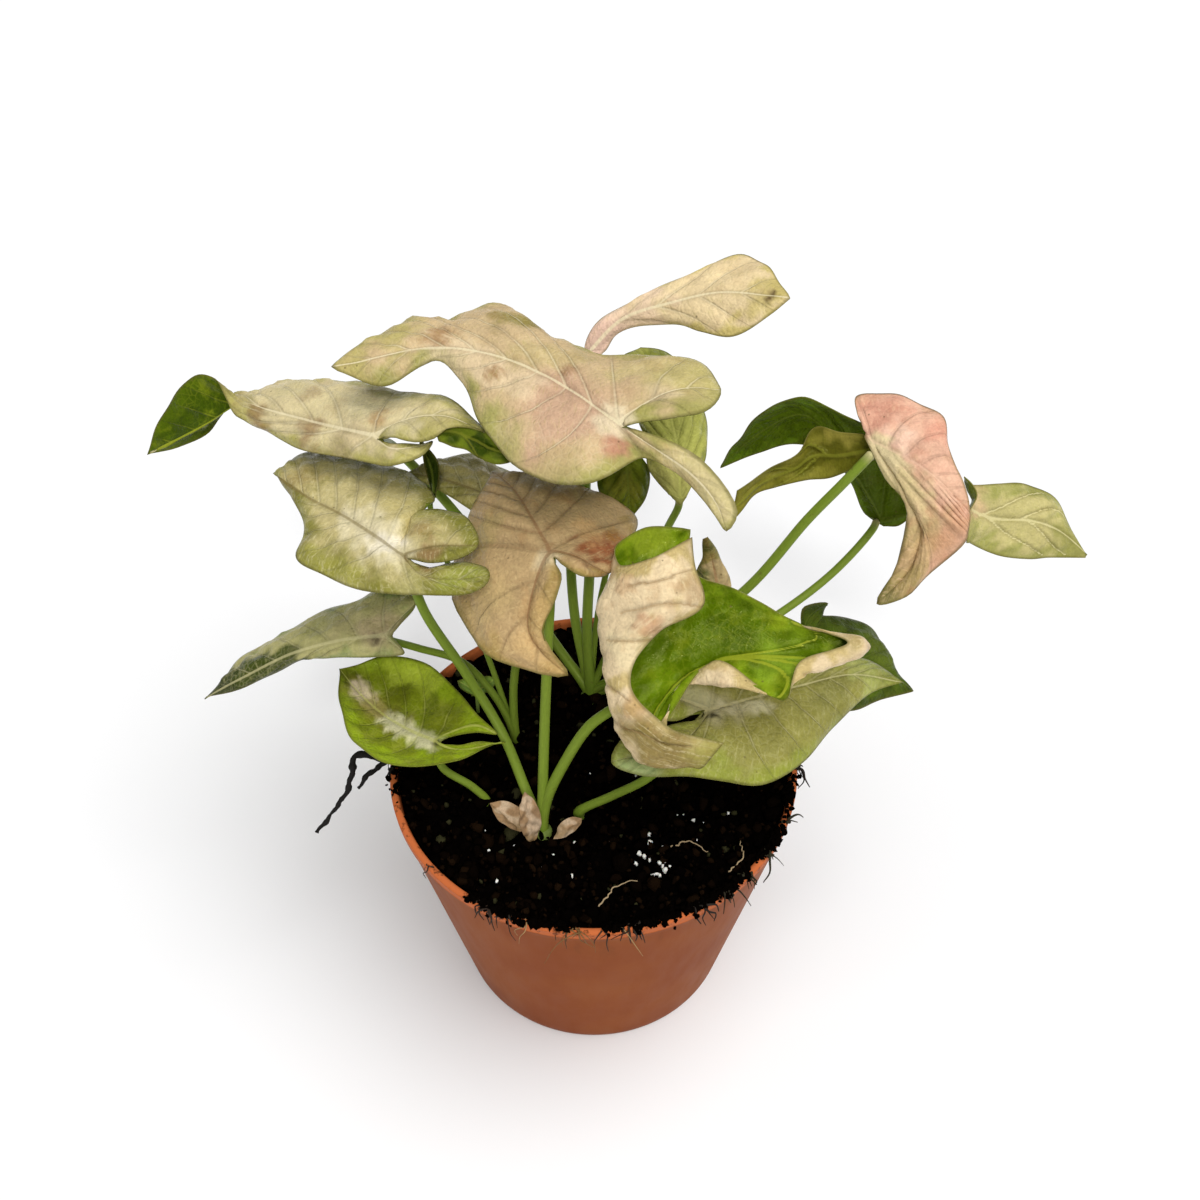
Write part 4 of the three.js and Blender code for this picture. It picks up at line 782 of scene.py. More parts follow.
# crowns: place, radius and top, then their stalks: radius, the leaf carried or the end, and points down it
SHOOTS = {
    "shoot_front": ((-14.5, -24), 3.4, 83, [
        (1.5, "leaf_centre", [(-12, -1, 134), (-13, -8, 117), (-14, -18, 96)]),
        (1.5, "leaf_mottled", [(-46, 10, 133), (-36, 7, 112), (-26, -3, 98), (-19, -17, 90)]),
        (1.6, (5, -13, 119.5), [(-1, -14, 114), (-8, -17, 102), (-13, -21, 91)]),
    ]),
    "shoot_left": ((-31, -14), 1.6, 83, [
        (1.2, "leaf_small_green", [(-43, -11, 93), (-35, -13, 87)]),
    ]),
    "shoot_right": ((-4, -19), 1.8, 84, [
        (1.3, "leaf_front", [(26, -16, 110), (15, -19, 98), (5, -19, 90)]),
    ]),
    "shoot_middle": ((-24, 11), 2, 81, [
        (1.3, "leaf_behind", [(-19, 26, 123), (-24, 17, 98)]),
        (1.2, "leaf_lower_left", [(-51, 18, 112), (-39, 20, 104), (-29, 15, 93)]),
        (0.9, "leaf_spear", [(-44, 39, 130), (-33, 25, 106)]),
    ]),
    "shoot_back": ((-1, 27), 4, 84, [
        (1.7, "leaf_top", [(3, 33, 172), (-2, 43, 155), (-1, 42, 129), (-2, 34, 104)]),
        (1.6, "leaf_left", [(-59, 60, 154), (-45, 61, 132), (-23, 46, 107), (-9, 34, 92)]),
        (1.6, "leaf_flag", [(-4, 62, 159), (-7, 53, 132), (-6, 40, 105)]),
        (1.5, (74, 34, 168), [(68, 32, 161), (60, 31, 150), (45, 29, 126), (18, 29, 96)]),
        (1.3, (83, 46, 134), [(70, 38, 122), (46, 29, 107), (16, 26, 89)]),
        (1.2, "leaf_upright", [(21, 34, 144), (11, 33, 114), (3, 30, 94)]),
        (1.0, "leaf_hanging", [(6, 45, 133), (1, 38, 105)]),
        (1.2, "leaf_new", [(28, 17, 117), (12, 23, 96)]),
        (1.2, "leaf_dark_side", [(45, 29, 92), (19, 27, 87)]),
    ]),
}
# scales at the foot of the front shoot: base, tip and width
SHEATHS = {
    "sheath_left": ((-20, -25, 84), (-29, -20.5, 89), 7),
    "sheath_middle": ((-17, -29, 84.5), (-18.5, -26, 101), 6),
    "sheath_right": ((-9.5, -27.5, 83.5), (-3, -24.5, 87), 5),
}
# the dry root over the rim and its branch: radius and points
STRAY_ROOTS = [
    (0.9, [(-52, -2, 87.5), (-61, -4, 88), (-69, -5, 91), (-70, -9, 87), (-74, -15, 81), (-80, -21, 76)]),
    (0.72, [(-60, -4, 88), (-66, -9, 86), (-68, -11, 84)]),
]
SEEDLING_STEM = [(-36, 20, SOIL_LEVEL - 6), (-36, 20, 84), (-36, 21, 90)]
SEEDLING_LEAFLETS = [
    ((-36, 21, 90), (-42, 24, 92), 5),
    ((-36, 21, 90), (-30, 25, 92), 6),
]


# ---- colours of each leaf ----
CREAM_GLOSS = (1.0, 0.96, 0.62, 1.0)
GREEN_GLOSS = (1.0, 1.0, 0.35, 1.0)
# vein colour and how strongly it marks the midrib and the side veins, flecks and how many, blotches and how
# many, roughness; then, where they differ, the tint of the gloss, whether the skin is an underside, and a
# colour of the midrib alone
SKINS = {
    "cream_skin": ("#ecdfb8", 0.66, 0.44, "#a09a50", 0.3, "#a9855a", 0.2, 0.4),
    "mottled_skin": ("#e6dcae", 0.6, 0.3, "#e2d8a8", 0.42, "#7b7530", 0.45, 0.37, CREAM_GLOSS, False,
                     "#7c6b3e"),
    "grey_skin": ("#cfc795", 0.5, 0.3, "#c4bd86", 0.35, "#75722c", 0.45, 0.34),
    "peach_skin": ("#7f5535", 0.5, 0.26, "#dcc48c", 0.35, "#a87746", 0.28, 0.42),
    "rolled_skin": ("#9c7a50", 0.4, 0.2, "#ecdcb0", 0.4, "#b78a5c", 0.3, 0.36),
    "pink_skin": ("#ecc6a8", 0.3, 0.1, "#ecc4a0", 0.4, "#b87456", 0.3, 0.38),
    "tip_skin": ("#e0d6a0", 0.6, 0.4, "#8f9040", 0.35, "#88833a", 0.35, 0.36),
    "green_skin": ("#c9c96c", 0.5, 0.3, "#6d7c14", 0.28, "#9ca03a", 0.35, 0.3, GREEN_GLOSS),
    "dark_skin": ("#6f7c2c", 0.4, 0.22, "#2c3c0c", 0.4, "#5c5c1e", 0.35, 0.42, GREEN_GLOSS),
    "bright_underside": ("#a9b030", 0.6, 0.3, "#566c06", 0.4, "#8e981e", 0.4, 0.24, GREEN_GLOSS, True),
    "olive_underside": ("#8c8e2e", 0.45, 0.28, "#4a5408", 0.35, "#6c6c16", 0.35, 0.34, GREEN_GLOSS, True),
}
# slot, skins of the upper and the lower face, side veins a side, seed; then colours: of the upper face near
# the ribs and near the margin, the distances from the margin between which one turns to the other, the same
# two of the lower face, and soft zones laid over each face: place in the leaf's frame (or both ends of a
# streak), radius, colour and amount
LOOK_PARTS = "slot skin under veins seed inner outer edge below zones zones_below"
Look = namedtuple("Look", LOOK_PARTS, defaults=[()])
LOOKS = {
    "leaf_top": Look(
        "cream_leaf", "cream_skin", "olive_underside", 9, 11, "#ceb489", "#a09a56", (0.5, 9),
        ("#576a10", "#6e7e24"),
        [((16, -1), 21, "#c8a287", 0.85), (((30, -7), (60, -14)), 7, "#e6cfaa", 0.6),
         (((22, -22), (36, -16)), 7, "#b9a772", 0.6), (((34, 3), (24, 14)), 5, "#aba562", 0.6),
         ((84, -2), 9, "#c4b472", 0.7), ((75, -16), 9, "#b7ae64", 0.75), ((5, -21), 9, "#bfb074", 0.55),
         ((-11, -24), 17, "#b9ad6e", 0.85), ((11, 13), 8, "#c6b07e", 0.6), ((46, -31), 9, "#897c38", 0.9),
         ((62, -17), 5.5, "#a9845c", 0.9), ((40, -8), 3.4, "#97744f", 0.9),
         ((21, -15), 3.4, "#a47f5c", 0.85), ((-2, 5), 4.2, "#b98068", 0.85), ((-17, 5), 5, "#c9ab74", 0.6),
         ((1, -1), 6, "#ecdcb8", 0.7), ((52, -30), 3, "#7f6c34", 0.6),
         (((-20, 5), (-30, 9)), 7, "#ccbc8a", 0.8), ((-7, -13), 6, "#d8c49c", 0.6)]),
    "leaf_left": Look(
        "cream_leaf", "cream_skin", "bright_underside", 9, 23, "#d6c698", "#aca45c", (0.5, 8),
        ("#384a04", "#485a08"),
        [((21, -14), 10, "#dfcf9e", 0.6), ((45, -10), 4.6, "#90744a", 0.85), ((24, -4), 6, "#9a7c56", 0.8),
         ((30, -18), 4.6, "#a5906a", 0.75), ((0, -6), 4.6, "#b59264", 0.8), ((8, -1), 7, "#c6b28c", 0.6),
         ((-18, -4), 10, "#b8ac70", 0.7), ((56, -15), 9, "#948a50", 0.7), ((40, -22), 9, "#c4b888", 0.5),
         # of the zones below, (12, 2) is a painted shadow in the valley by the midrib's foot, and (9, -12) a
         # pale painted highlight that lifts the shadow the top leaf casts there
         ((-10, -3), 7, "#cdc096", 0.7), ((12, 2), 5, "#938559", 0.6), ((9, -12), 8, "#f4e6b8", 0.6)]),
    "leaf_mottled": Look(
        "mottled_leaf", "mottled_skin", "olive_underside", 8, 37, "#b7a970", "#807d33", (0.5, 14),
        ("#576a10", "#6e7e24"),
        [(((4, 0), (34, -4)), 14, "#c4b684", 0.6), (((3, 0), (22, -1)), 8, "#efe3c2", 0.55),
         ((7, 0), 6, "#fdf3dc", 0.75), ((53, -3), 9, "#94804e", 0.65), ((-8, -2), 5, "#77653a", 0.75),
         ((-6, -5), 5, "#97774f", 0.7), ((2, -9), 5, "#957c4c", 0.7), ((-19, -4), 8, "#8f9636", 0.7),
         ((-9, 5), 6, "#c2b87c", 0.5), (((8, 12), (26, 14)), 5, "#a09c4a", 0.7),
         ((61, -15), 9, "#8a7f46", 0.7), ((-2, 0), 2.2, "#6e5a3a", 0.8), ((36, -19), 12, "#b6a86a", 0.5)]),
    "leaf_lower_left": Look(
        "grey_green_leaf", "grey_skin", "olive_underside", 7, 41, "#aca66e", "#8d9656", (0.3, 4),
        ("#546b1a", "#6b7f3a"),
        [((2, -3), 9, "#b7a080", 0.7), ((12, -8), 8, "#b5a87a", 0.5),
         # these two dark streaks along the lower half are the underside colour of the folded half, with
         # painted shade over it
         (((72, 0), (44, -2)), 8, "#2c3614", 0.98), (((46, -2), (31, -2)), 6, "#3e4816", 0.95),
         ((22, -10), 6, "#8a8a4c", 0.5), ((3, 0), 2, "#3a2e20", 0.7)]),
    "leaf_small_green": Look(
        "green_leaf", "green_skin", "bright_underside", 7, 53, "#7c881a", "#8fa41e", (1, 8),
        ("#5c7610", "#6f8a1a"),
        [((40, -1), 4.5, "#58600f", 0.9), (((35, 1), (14, 1.5)), 6, "#77682f", 0.6),
         (((36, 0), (30, 1)), 3.8, "#e0cbae", 0.75), (((28, 1), (21, 1.5)), 3.8, "#a8985a", 0.8),
         (((19, 2), (1, 1)), 4.2, "#efe8bc", 0.8), ((-1, 0), 1.8, "#2c2a12", 0.9),
         ((4, -7), 9, "#6c721a", 0.6), (((31, -12), (17, -15)), 5, "#bccb40", 0.7),
         ((24, -6), 6, "#5c6014", 0.7), ((12, -10), 4, "#4e5a10", 0.6)]),
    "leaf_centre": Look(
        "peach_leaf", "peach_skin", "olive_underside", 6, 61, "#b79a6e", "#a18850", (0.3, 6),
        ("#5a6c14", "#7a8030"),
        [(((-3, -10), (0, -20)), 5.5, "#8f4c2c", 0.9), ((2, -20), 5, "#ac8040", 0.6),
         ((20, 11), 8, "#a89660", 0.6), ((-15, 9), 9, "#c4a26c", 0.6), ((1, 17), 8, "#ceb27c", 0.6),
         ((-8, -6), 5, "#8c6644", 0.6), ((-2, 1), 3.4, "#d8c49c", 0.8), ((19, -11), 7, "#b48a5a", 0.5),
         ((3, -13), 6, "#cfa670", 0.6)]),
    "leaf_flag": Look(
        "cream_leaf", "cream_skin", "bright_underside", 5, 67, "#e0c99c", "#cdba74", (0.2, 3),
        ("#445a0a", "#56700e"),
        [((3, 2), 13, "#efc8b4", 0.9), ((16, 6), 11, "#f0d2b2", 0.8), ((52, 5), 9, "#c4b26c", 0.75),
         ((45, 16), 8, "#d2b98c", 0.6), ((52, 1.4), 1.7, "#4a2e18", 0.95), ((53, 3), 1.2, "#4a2e18", 0.8)]),
    "leaf_behind": Look(
        "grey_green_leaf", "mottled_skin", "olive_underside", 7, 71, "#a99b5e", "#8a8344", (0.5, 7),
        ("#4f6214", "#646f24"),
        [((24, -10), 9, "#d0b87c", 0.6), ((10, -4), 8, "#bcaa74", 0.5)]),
    "leaf_upright": Look(
        "green_leaf", "green_skin", "bright_underside", 8, 79, "#b4b45c", "#989c46", (0.3, 5),
        ("#5e7412", "#6f881e"),
        [((8, 3), 12, "#b6ae68", 0.7), ((22, -5), 9, "#c2c264", 0.5)]),
    "leaf_hanging": Look(
        "dark_leaf", "dark_skin", "olive_underside", 5, 83, "#667018", "#525f12", (0.3, 3),
        ("#4a5e12", "#556a18"),
        [((10, -2), 6, "#8a8430", 0.5)]),
    "leaf_pink": Look(
        "pink_leaf", "pink_skin", "olive_underside", 7, 97, "#e0af94", "#d2a486", (0.2, 3),
        ("#56680e", "#6c7c20"),
        [((0, 10), 8, "#c68a74", 0.8), ((6, 1), 6, "#ebc8b0", 0.6), ((21, -11), 8, "#edc0a2", 0.6),
         (((1, -2), (11, -11)), 5, "#e2d2a0", 0.9), (((11, -11), (19, -17)), 5.5, "#d9c48e", 0.9),
         (((22, -20), (24, -26)), 7, "#b89e6a", 0.8), ((24, -31), 9, "#9c8854", 0.95),
         ((22, -38), 11, "#7c7342", 0.98), (((26, 8), (30, -4)), 3, "#e7bba6", 0.6),
         ((14, 6), 5, "#d08a74", 0.6), ((28, -17), 5, "#c9966c", 0.6)]),
    "leaf_spear": Look(
        "dark_leaf", "dark_skin", "dark_skin", 4, 99, "#38480f", "#20300b", (0.2, 2),
        ("#2a3a0b", "#203008"),
        [((4, 0), 6, "#1c2410", 0.8)]),
    "leaf_dark_back": Look(
        "dark_leaf", "olive_underside", "dark_skin", 8, 101, "#4a5c0a", "#576c12", (0.3, 4),
        ("#516608", "#5c7614"), []),
    "leaf_front": Look(
        "grey_green_leaf", "grey_skin", "olive_underside", 8, 103, "#8a8642", "#8b9138", (0.5, 7),
        ("#566a14", "#728228"),
        [((0, 0), 9, "#b5ad82", 0.8), (((3, -1), (14, -3)), 4, "#d6cfa8", 0.8),
         (((-1, 3), (-6, 9)), 4, "#b9b58c", 0.7), ((-26, -13), 10, "#97a76c", 0.9),
         ((36, -1), 10, "#75733c", 0.6), ((51, 4), 8, "#a3a85e", 0.7), ((-9, -13), 6, "#73752f", 0.6),
         # the near-black spot at (-1, -3) is painted shadow where the stalk meets the blade
         ((20, -10), 7, "#99954c", 0.6), ((-1, -3), 2.0, "#0e0a06", 1.0)]),
    "leaf_dark_side": Look(
        "dark_leaf", "dark_skin", "olive_underside", 6, 107, "#4a5c14", "#39470f", (0.3, 5),
        ("#3f4f12", "#4c5c16"),
        [((11, 17), 8, "#2c3608", 0.7), ((26, 10), 9, "#647026", 0.5)]),
    "leaf_new": Look(
        "peach_leaf", "peach_skin", "olive_underside", 5, 109, "#a8946a", "#8c8248", (0.2, 2),
        ("#3f5a0e", "#55701a"),
        [((10, 3), 4.5, "#4c5220", 0.95), (((2, 3), (20, 2.6)), 4, "#434c1c", 0.95)]),
    "leaf_rolled": Look(
        "cream_leaf", "rolled_skin", "bright_underside", None, 113, "#dfc8a0", "#c0aa72", (0.3, 4),
        ("#526a04", "#7c9418"),
        [((-24, 2, 8), 8, "#efdcae", 0.6), ((-20, 8, 9), 4, "#b98a68", 0.7),
         ((-23, -12, 8), 5, "#b08a5c", 0.6), ((-10, 17, 9), 5, "#b1946c", 0.7),
         (((-18, -24, 7), (-8, -27, 7)), 12, "#86743e", 0.95), ((-3, -24, 8), 9, "#989048", 0.9),
         ((-26, 18, 8), 4, "#c09c74", 0.6)],
        [((14, -2, -2), 9, "#8aa62a", 0.8), ((-19, 30, -8), 8, "#93a428", 0.8),
         ((3, 5, -7), 9, "#3e5402", 0.7), ((-16, -6, -4), 8, "#789412", 0.7)]),
    "left_lobe": Look(
        None, "cream_skin", "olive_underside", None, 133, "#5f7014", "#4c600c", (0.3, 4),
        ("#344808", "#70801e"), []),
    "back_lobe": Look(
        None, "tip_skin", "olive_underside", None, 127, "#c0aa76", "#b5a46a", (0.3, 4),
        ("#5f5c16", "#7e782a"),
        [],
        [((-6, 5, -5), 6, "#b0a24a", 0.7)]),
    "pink_tip": Look(
        None, "tip_skin", "olive_underside", None, 131, "#bdb276", "#9a9852", (0.3, 6),
        ("#64761c", "#828c30"),
        [((27, -15), 7, "#d2b088", 0.7), ((57, -25), 8, "#8d8b46", 0.8)]),
}
STALK_COLOURS = ("#4c6414", "#778c2e", "#c2b884")  # in the soil, along it, under the blade


# ---- meshes ----
def new_object(name, mesh):
    thing = bpy.data.objects.new(name, mesh)
    bpy.context.scene.collection.objects.link(thing)
    return thing


def store_tone(mesh, colours):
    """Keeps a colour for each vertex, which the materials read."""
    values = np.concatenate([colours, np.ones((len(colours), 1))], axis=1)
    attribute = mesh.attributes.new("tone", "FLOAT_COLOR", "POINT")
    attribute.data.foreach_set("color", values.astype(np.float32).reshape(-1))


def store_field(mesh, name, domain, vectors):
    attribute = mesh.attributes.new(name, "FLOAT_VECTOR", domain)
    attribute.data.foreach_set("vector", np.asarray(vectors, np.float32).reshape(-1))


def smooth_mesh(name, vertices, faces, materials):
    """A mesh in metres from vertices in millimetres, with smooth shading."""
    mesh = bpy.data.meshes.new(name)
    mesh.from_pydata((np.asarray(vertices) * MM).tolist(), [], faces)
    mesh.polygons.foreach_set("use_smooth", [True] * len(mesh.polygons))
    for material in materials:
        mesh.materials.append(material)
    return mesh


def finish_piece(thing, slot, *nodes):
    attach(thing, "root")
    if nodes:
        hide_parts(*nodes)


def thickened(name, sheets, tones, skins):
    """One piece from sheets: an upper face, an under face and a rim, each vertex with its colour."""
    vertices, faces, face_materials, colours = [], [], [], []
    corner_values = {field: [] for field in FIELDS}
    materials = list(dict.fromkeys(skin for pair in skins for skin in pair))
    for sheet, both_tones, pair in zip(sheets, tones, skins):
        upper, under = (materials.index(skin) for skin in pair)
        first = sum(len(block) for block in vertices)
        count = len(sheet.vertices)
        normals = sheet.normals()
        inward = smoothstep(0, MARGIN_TAPER, sheet.vertex_fields["form"][:, 0])
        half = (MARGIN_THICKNESS + (BLADE_THICKNESS - MARGIN_THICKNESS) * inward)[:, None] / 2
        vertices += [sheet.vertices + normals * half, sheet.vertices - normals * half]
        colours += both_tones
        for ring in sheet.faces:
            ids = sheet.weld_of[ring]
            faces.append((first + ids).tolist())
            faces.append((first + count + ids[::-1]).tolist())
            face_materials += [upper, under]
            for field in FIELDS:
                corner_values[field].append(sheet.corner_fields[field][ring])
                corner_values[field].append(sheet.corner_fields[field][ring[::-1]])
        for a, b in sheet.boundary():
            faces.append([first + b, first + a, first + a + count, first + b + count])
            face_materials.append(upper)
            for field in FIELDS:
                corner_values[field].append(sheet.vertex_fields[field][[b, a, a, b]])
    mesh = smooth_mesh(name, np.concatenate(vertices), faces, materials)
    mesh.polygons.foreach_set("material_index", face_materials)
    store_tone(mesh, np.concatenate(colours))
    for field in FIELDS:
        store_field(mesh, field, "CORNER", np.concatenate(corner_values[field]))
    return new_object(name, mesh)


def mixed(share, first, second):
    return first + (second - first) * np.asarray(share)[:, None]


def sheet_tone(sheet, frame, inner, outer, margin, zones, seed):
    """Colour at each vertex: inner by the ribs, outer by the margin, then soft spots and streaks over it."""
    points = sheet.vertices
    ragged = sheet.vertex_fields["form"][:, 0] + ruffled(points, seed, RAGGED_BORDER)
    tone = mixed(smoothstep(*margin, ragged), linear(outer), linear(inner))
    local = frame.local(points)
    for number, (place, radius, colour, amount) in enumerate(zones):
        start, end = (np.array(point, float) for point in (place if np.ndim(place) == 2 else (place, place)))
        run, from_start = end - start, local[:, :len(start)] - start
        share = np.clip(from_start @ run / max(run @ run, TINY), 0, 1)
        gap = np.linalg.norm(from_start - share[:, None] * run, axis=1)
        wander_size = max(radius * ZONE_WANDER_SIZE, ZONE_WANDER_LEAST)
        gap = gap + radius * ZONE_WANDER * wobble(points, wander_size, seed + ZONE_SEED + number)
        tone = mixed(amount * (1 - smoothstep(ZONE_CORE * radius, radius, gap)), tone, linear(colour))
    return np.clip(tone, 0, 1)


def relief(sheet, seed):
    """Heights of the upper face: the blade bulges between veins, waves at its margin and is never flat."""
    phase, sharpness, _ = sheet.corner_fields["lines"].T
    corner_quilt = smoothstep(0, QUILT_FLANK, line_gap(phase)) * smoothstep(*QUILT_SHARPNESS, sharpness)
    quilt = np.zeros(len(sheet.vertices))
    np.add.at(quilt, sheet.weld_of, corner_quilt)
    quilt /= np.bincount(sheet.weld_of, minlength=len(quilt))
    margin_distance, rib_distance, _ = sheet.vertex_fields["form"].T
    inner = smoothstep(0, RIB_FLANK, rib_distance) * smoothstep(0, MARGIN_FLANK, margin_distance)
    edge = 1 - smoothstep(0, MARGIN_WAVE_REACH, margin_distance)
    wave = MARGIN_WAVE * edge * wobble(sheet.vertices, MARGIN_WAVE_LENGTH, seed)
    dents = ruffled(sheet.vertices, seed + DENT_SEED, BLADE_DENTS)
    return QUILT_HEIGHT * quilt * inner + wave + inner * dents


# ---- tubes and piles ----
def tube_mesh(path, radii, sides, groove):
    """Rings of vertices and faces of a closed tube along points, with a shallow groove along its top."""
    runs = unit(np.gradient(path, axis=0))
    side_way = unit(np.cross(runs, NO_TUBE_RUNS))
    for i in range(1, len(path)):
        side_way[i] = unit(side_way[i - 1] - runs[i] * (side_way[i - 1] @ runs[i]))
    up = np.cross(side_way, runs)
    turns = 2 * math.pi * np.arange(sides) / sides
    swell = 1 - groove * np.exp(-((turns - math.pi / 2) / GROOVE_HALF_WIDTH) ** 2)
    ring = side_way[:, None] * np.cos(turns)[None, :, None] + up[:, None] * np.sin(turns)[None, :, None]
    points = path[:, None] + ring * (np.asarray(radii)[:, None] * swell)[:, :, None]
    ids = np.arange(len(path) * sides).reshape(len(path), sides)
    after = np.roll(ids, -1, axis=1)
    quads = np.stack([ids[:-1], ids[1:], after[1:], after[:-1]], axis=-1).reshape(-1, 4).tolist()
    quads.append(ids[0].tolist())
    quads.append(ids[-1][::-1].tolist())
    along = np.repeat(run_along(path), sides)
    return points.reshape(-1, 3), quads, np.stack([along, np.tile(turns, len(path)), 0 * along], axis=-1)


def wandering(points, steps, amount, size, seed):
    """A smooth path of so many points that wanders from side to side."""
    path = smooth_path(points, np.linspace(0, 1, steps))
    return path + amount * np.stack([wobble(path, size, seed + axis) for axis in range(3)], axis=1)


class Pile:
    """Many small closed meshes gathered in one piece, with a colour and grain at each vertex."""

    def __init__(self):
        self.vertices, self.faces, self.colours, self.grain = [], [], [], []
        self.count = 0

    def add(self, vertices, faces, colours, grain=None):
        self.faces += [[self.count + i for i in face] for face in faces]
        self.vertices.append(vertices)
        self.colours.append(np.broadcast_to(colours, (len(vertices), 3)))
        self.grain.append(np.zeros((len(vertices), 3)) if grain is None else grain)
        self.count += len(vertices)

    def add_tube(self, path, radii, sides, colours, groove=0.0):
        vertices, faces, grain = tube_mesh(path, radii, sides, groove)
        self.add(vertices, faces, colours, grain)

    def piece(self, name, *materials):
        mesh = smooth_mesh(name, np.concatenate(self.vertices), self.faces, materials)
        store_tone(mesh, np.concatenate(self.colours))
        store_field(mesh, "grain", "POINT", np.concatenate(self.grain))
        return new_object(name, mesh)


# ---- finishes: colours, tints of the gloss, and how much finer a grain is along each axis ----
LEAF_STREAK = (1.5, 0.24, 0)
SPECK_SIZE = 3.6
SPECK_COLOUR = "#5b4a2c"
BLADE_RIM_COLOUR = "#5f5a26"
STALK_GLOSS = (1.0, 1.0, 0.5, 1.0)
STALK_STREAK = 0.07
STALK_SPECK_COLOUR = "#5a4526"
POT_GLOSS = (1.0, 0.62, 0.36, 1.0)
POT_COLOURS = ("#833f13", "#8c4919")
POT_SMEAR = (1, 1, 0.25)
POT_SCRATCH = (1, 1, 0.08)
POT_MARK_COLOUR = "#74442a"
POT_DUST_COLOUR = "#5a3420"
DUST_HEIGHTS = (66, 84)
# painted highlight: the colour of the rim's top band, lighter where it catches the light
LIP_HIGHLIGHT_COLOUR = "#c0673a"
GRIME_COLOUR = "#2b1c12"
PEAT_COLOURS = ("#020101", "#070403")
PEAT_FIBRE = (1.0, 0.3, 1.0)
PEAT_FIBRE_COLOUR = "#150c07"
DRY_STREAK = (1.0, 1.0, 0.35)
DRY_ROUGHNESS = 0.8
PERLITE_COLOURS = ("#f3f0e8", "#b8b0a0")


# ---- materials ----
class Graph:
    """A material's node tree, with a short call for each kind of node used here."""

    def __init__(self, name, **sockets):
        self.material = bpy.data.materials.new(name)
        self.material.use_nodes = True
        self.tree = self.material.node_tree
        self.shader = self.tree.nodes["Principled BSDF"]
        for socket, value in sockets.items():
            self.shader.inputs[socket.replace("_", " ")].default_value = value
        # object coordinates in millimetres
        self.place = self.scaled(self.node("ShaderNodeTexCoord").outputs["Object"], (1 / MM,) * 3)

    def node(self, kind, inputs=(), **settings):
        made = self.tree.nodes.new(kind)
        for setting, value in settings.items():
            setattr(made, setting, value)
        for key, value in dict(inputs).items():
            self.feed(made.inputs[key], value)
        return made

    def feed(self, socket, value):
        if isinstance(value, bpy.types.NodeSocket):
            self.tree.links.new(value, socket)
        else:
            socket.default_value = value

    def field(self, name, part="Vector"):
        return self.node("ShaderNodeAttribute", attribute_name=name).outputs[part]

    def tone(self):
        """The colour kept at each vertex."""
        return self.field("tone", "Color")

    def split(self, vector):
        return self.node("ShaderNodeSeparateXYZ", {"Vector": vector}).outputs

    def scaled(self, vector, sizes):
        return self.node("ShaderNodeVectorMath", {0: vector, 1: sizes}, operation="MULTIPLY").outputs[0]

    def math(self, operation, first, second=0.0):
        return self.node("ShaderNodeMath", {0: first, 1: second}, operation=operation).outputs[0]

    def product(self, first, *others):
        for other in others:
            first = self.math("MULTIPLY", first, other)
        return first

    def total(self, *terms):
        """Sum of (value, weight) pairs."""
        whole = 0.0
        for value, weight in terms:
            whole = self.math("ADD", whole, self.math("MULTIPLY", value, weight))
        return whole

    def step(self, value, low, high, start=0.0, end=1.0):
        """Turns softly from start to end as the value goes from low to high."""
        inputs = {"Value": value, "From Min": low, "From Max": high, "To Min": start, "To Max": end}
        return self.node("ShaderNodeMapRange", inputs, interpolation_type="SMOOTHSTEP").outputs[0]

    def mix(self, share, first, second):
        made = self.node("ShaderNodeMix", data_type="RGBA")
        for key, value in ((0, share), (6, first), (7, second)):
            is_colour = key and not isinstance(value, bpy.types.NodeSocket)
            self.feed(made.inputs[key], (*linear(value), 1) if is_colour else value)
        return made.outputs[2]

    def shade(self, colour, factor):
        """A colour made lighter or darker by a factor that varies over the surface."""
        return self.node("ShaderNodeVectorMath", {0: colour, "Scale": factor}, operation="SCALE").outputs[0]

    def noise(self, size, detail, roughness=0.55, vector=None):
        """Cloudy noise of a size in millimetres."""
        place = self.place if vector is None else vector
        inputs = {"Vector": place, "Scale": 1 / size, "Detail": detail, "Roughness": roughness}
        return self.node("ShaderNodeTexNoise", inputs).outputs[0]

    def cells(self, size, feature="F1", output="Distance"):
        """Distance from the middle of a cell, or another output of a pattern of cells."""
        inputs = {"Vector": self.place, "Scale": 1 / size}
        return self.node("ShaderNodeTexVoronoi", inputs, feature=feature).outputs[output]

    def bump(self, height, distance, strength):
        inputs = {"Height": height, "Distance": distance * MM, "Strength": strength}
        return self.node("ShaderNodeBump", inputs).outputs[0]

    def finish(self, colour, roughness=None, normal=None):
        for socket, value in (("Base Color", colour), ("Roughness", roughness), ("Normal", normal)):
            if value is not None:
                self.feed(self.shader.inputs[socket], value)
        return self.material


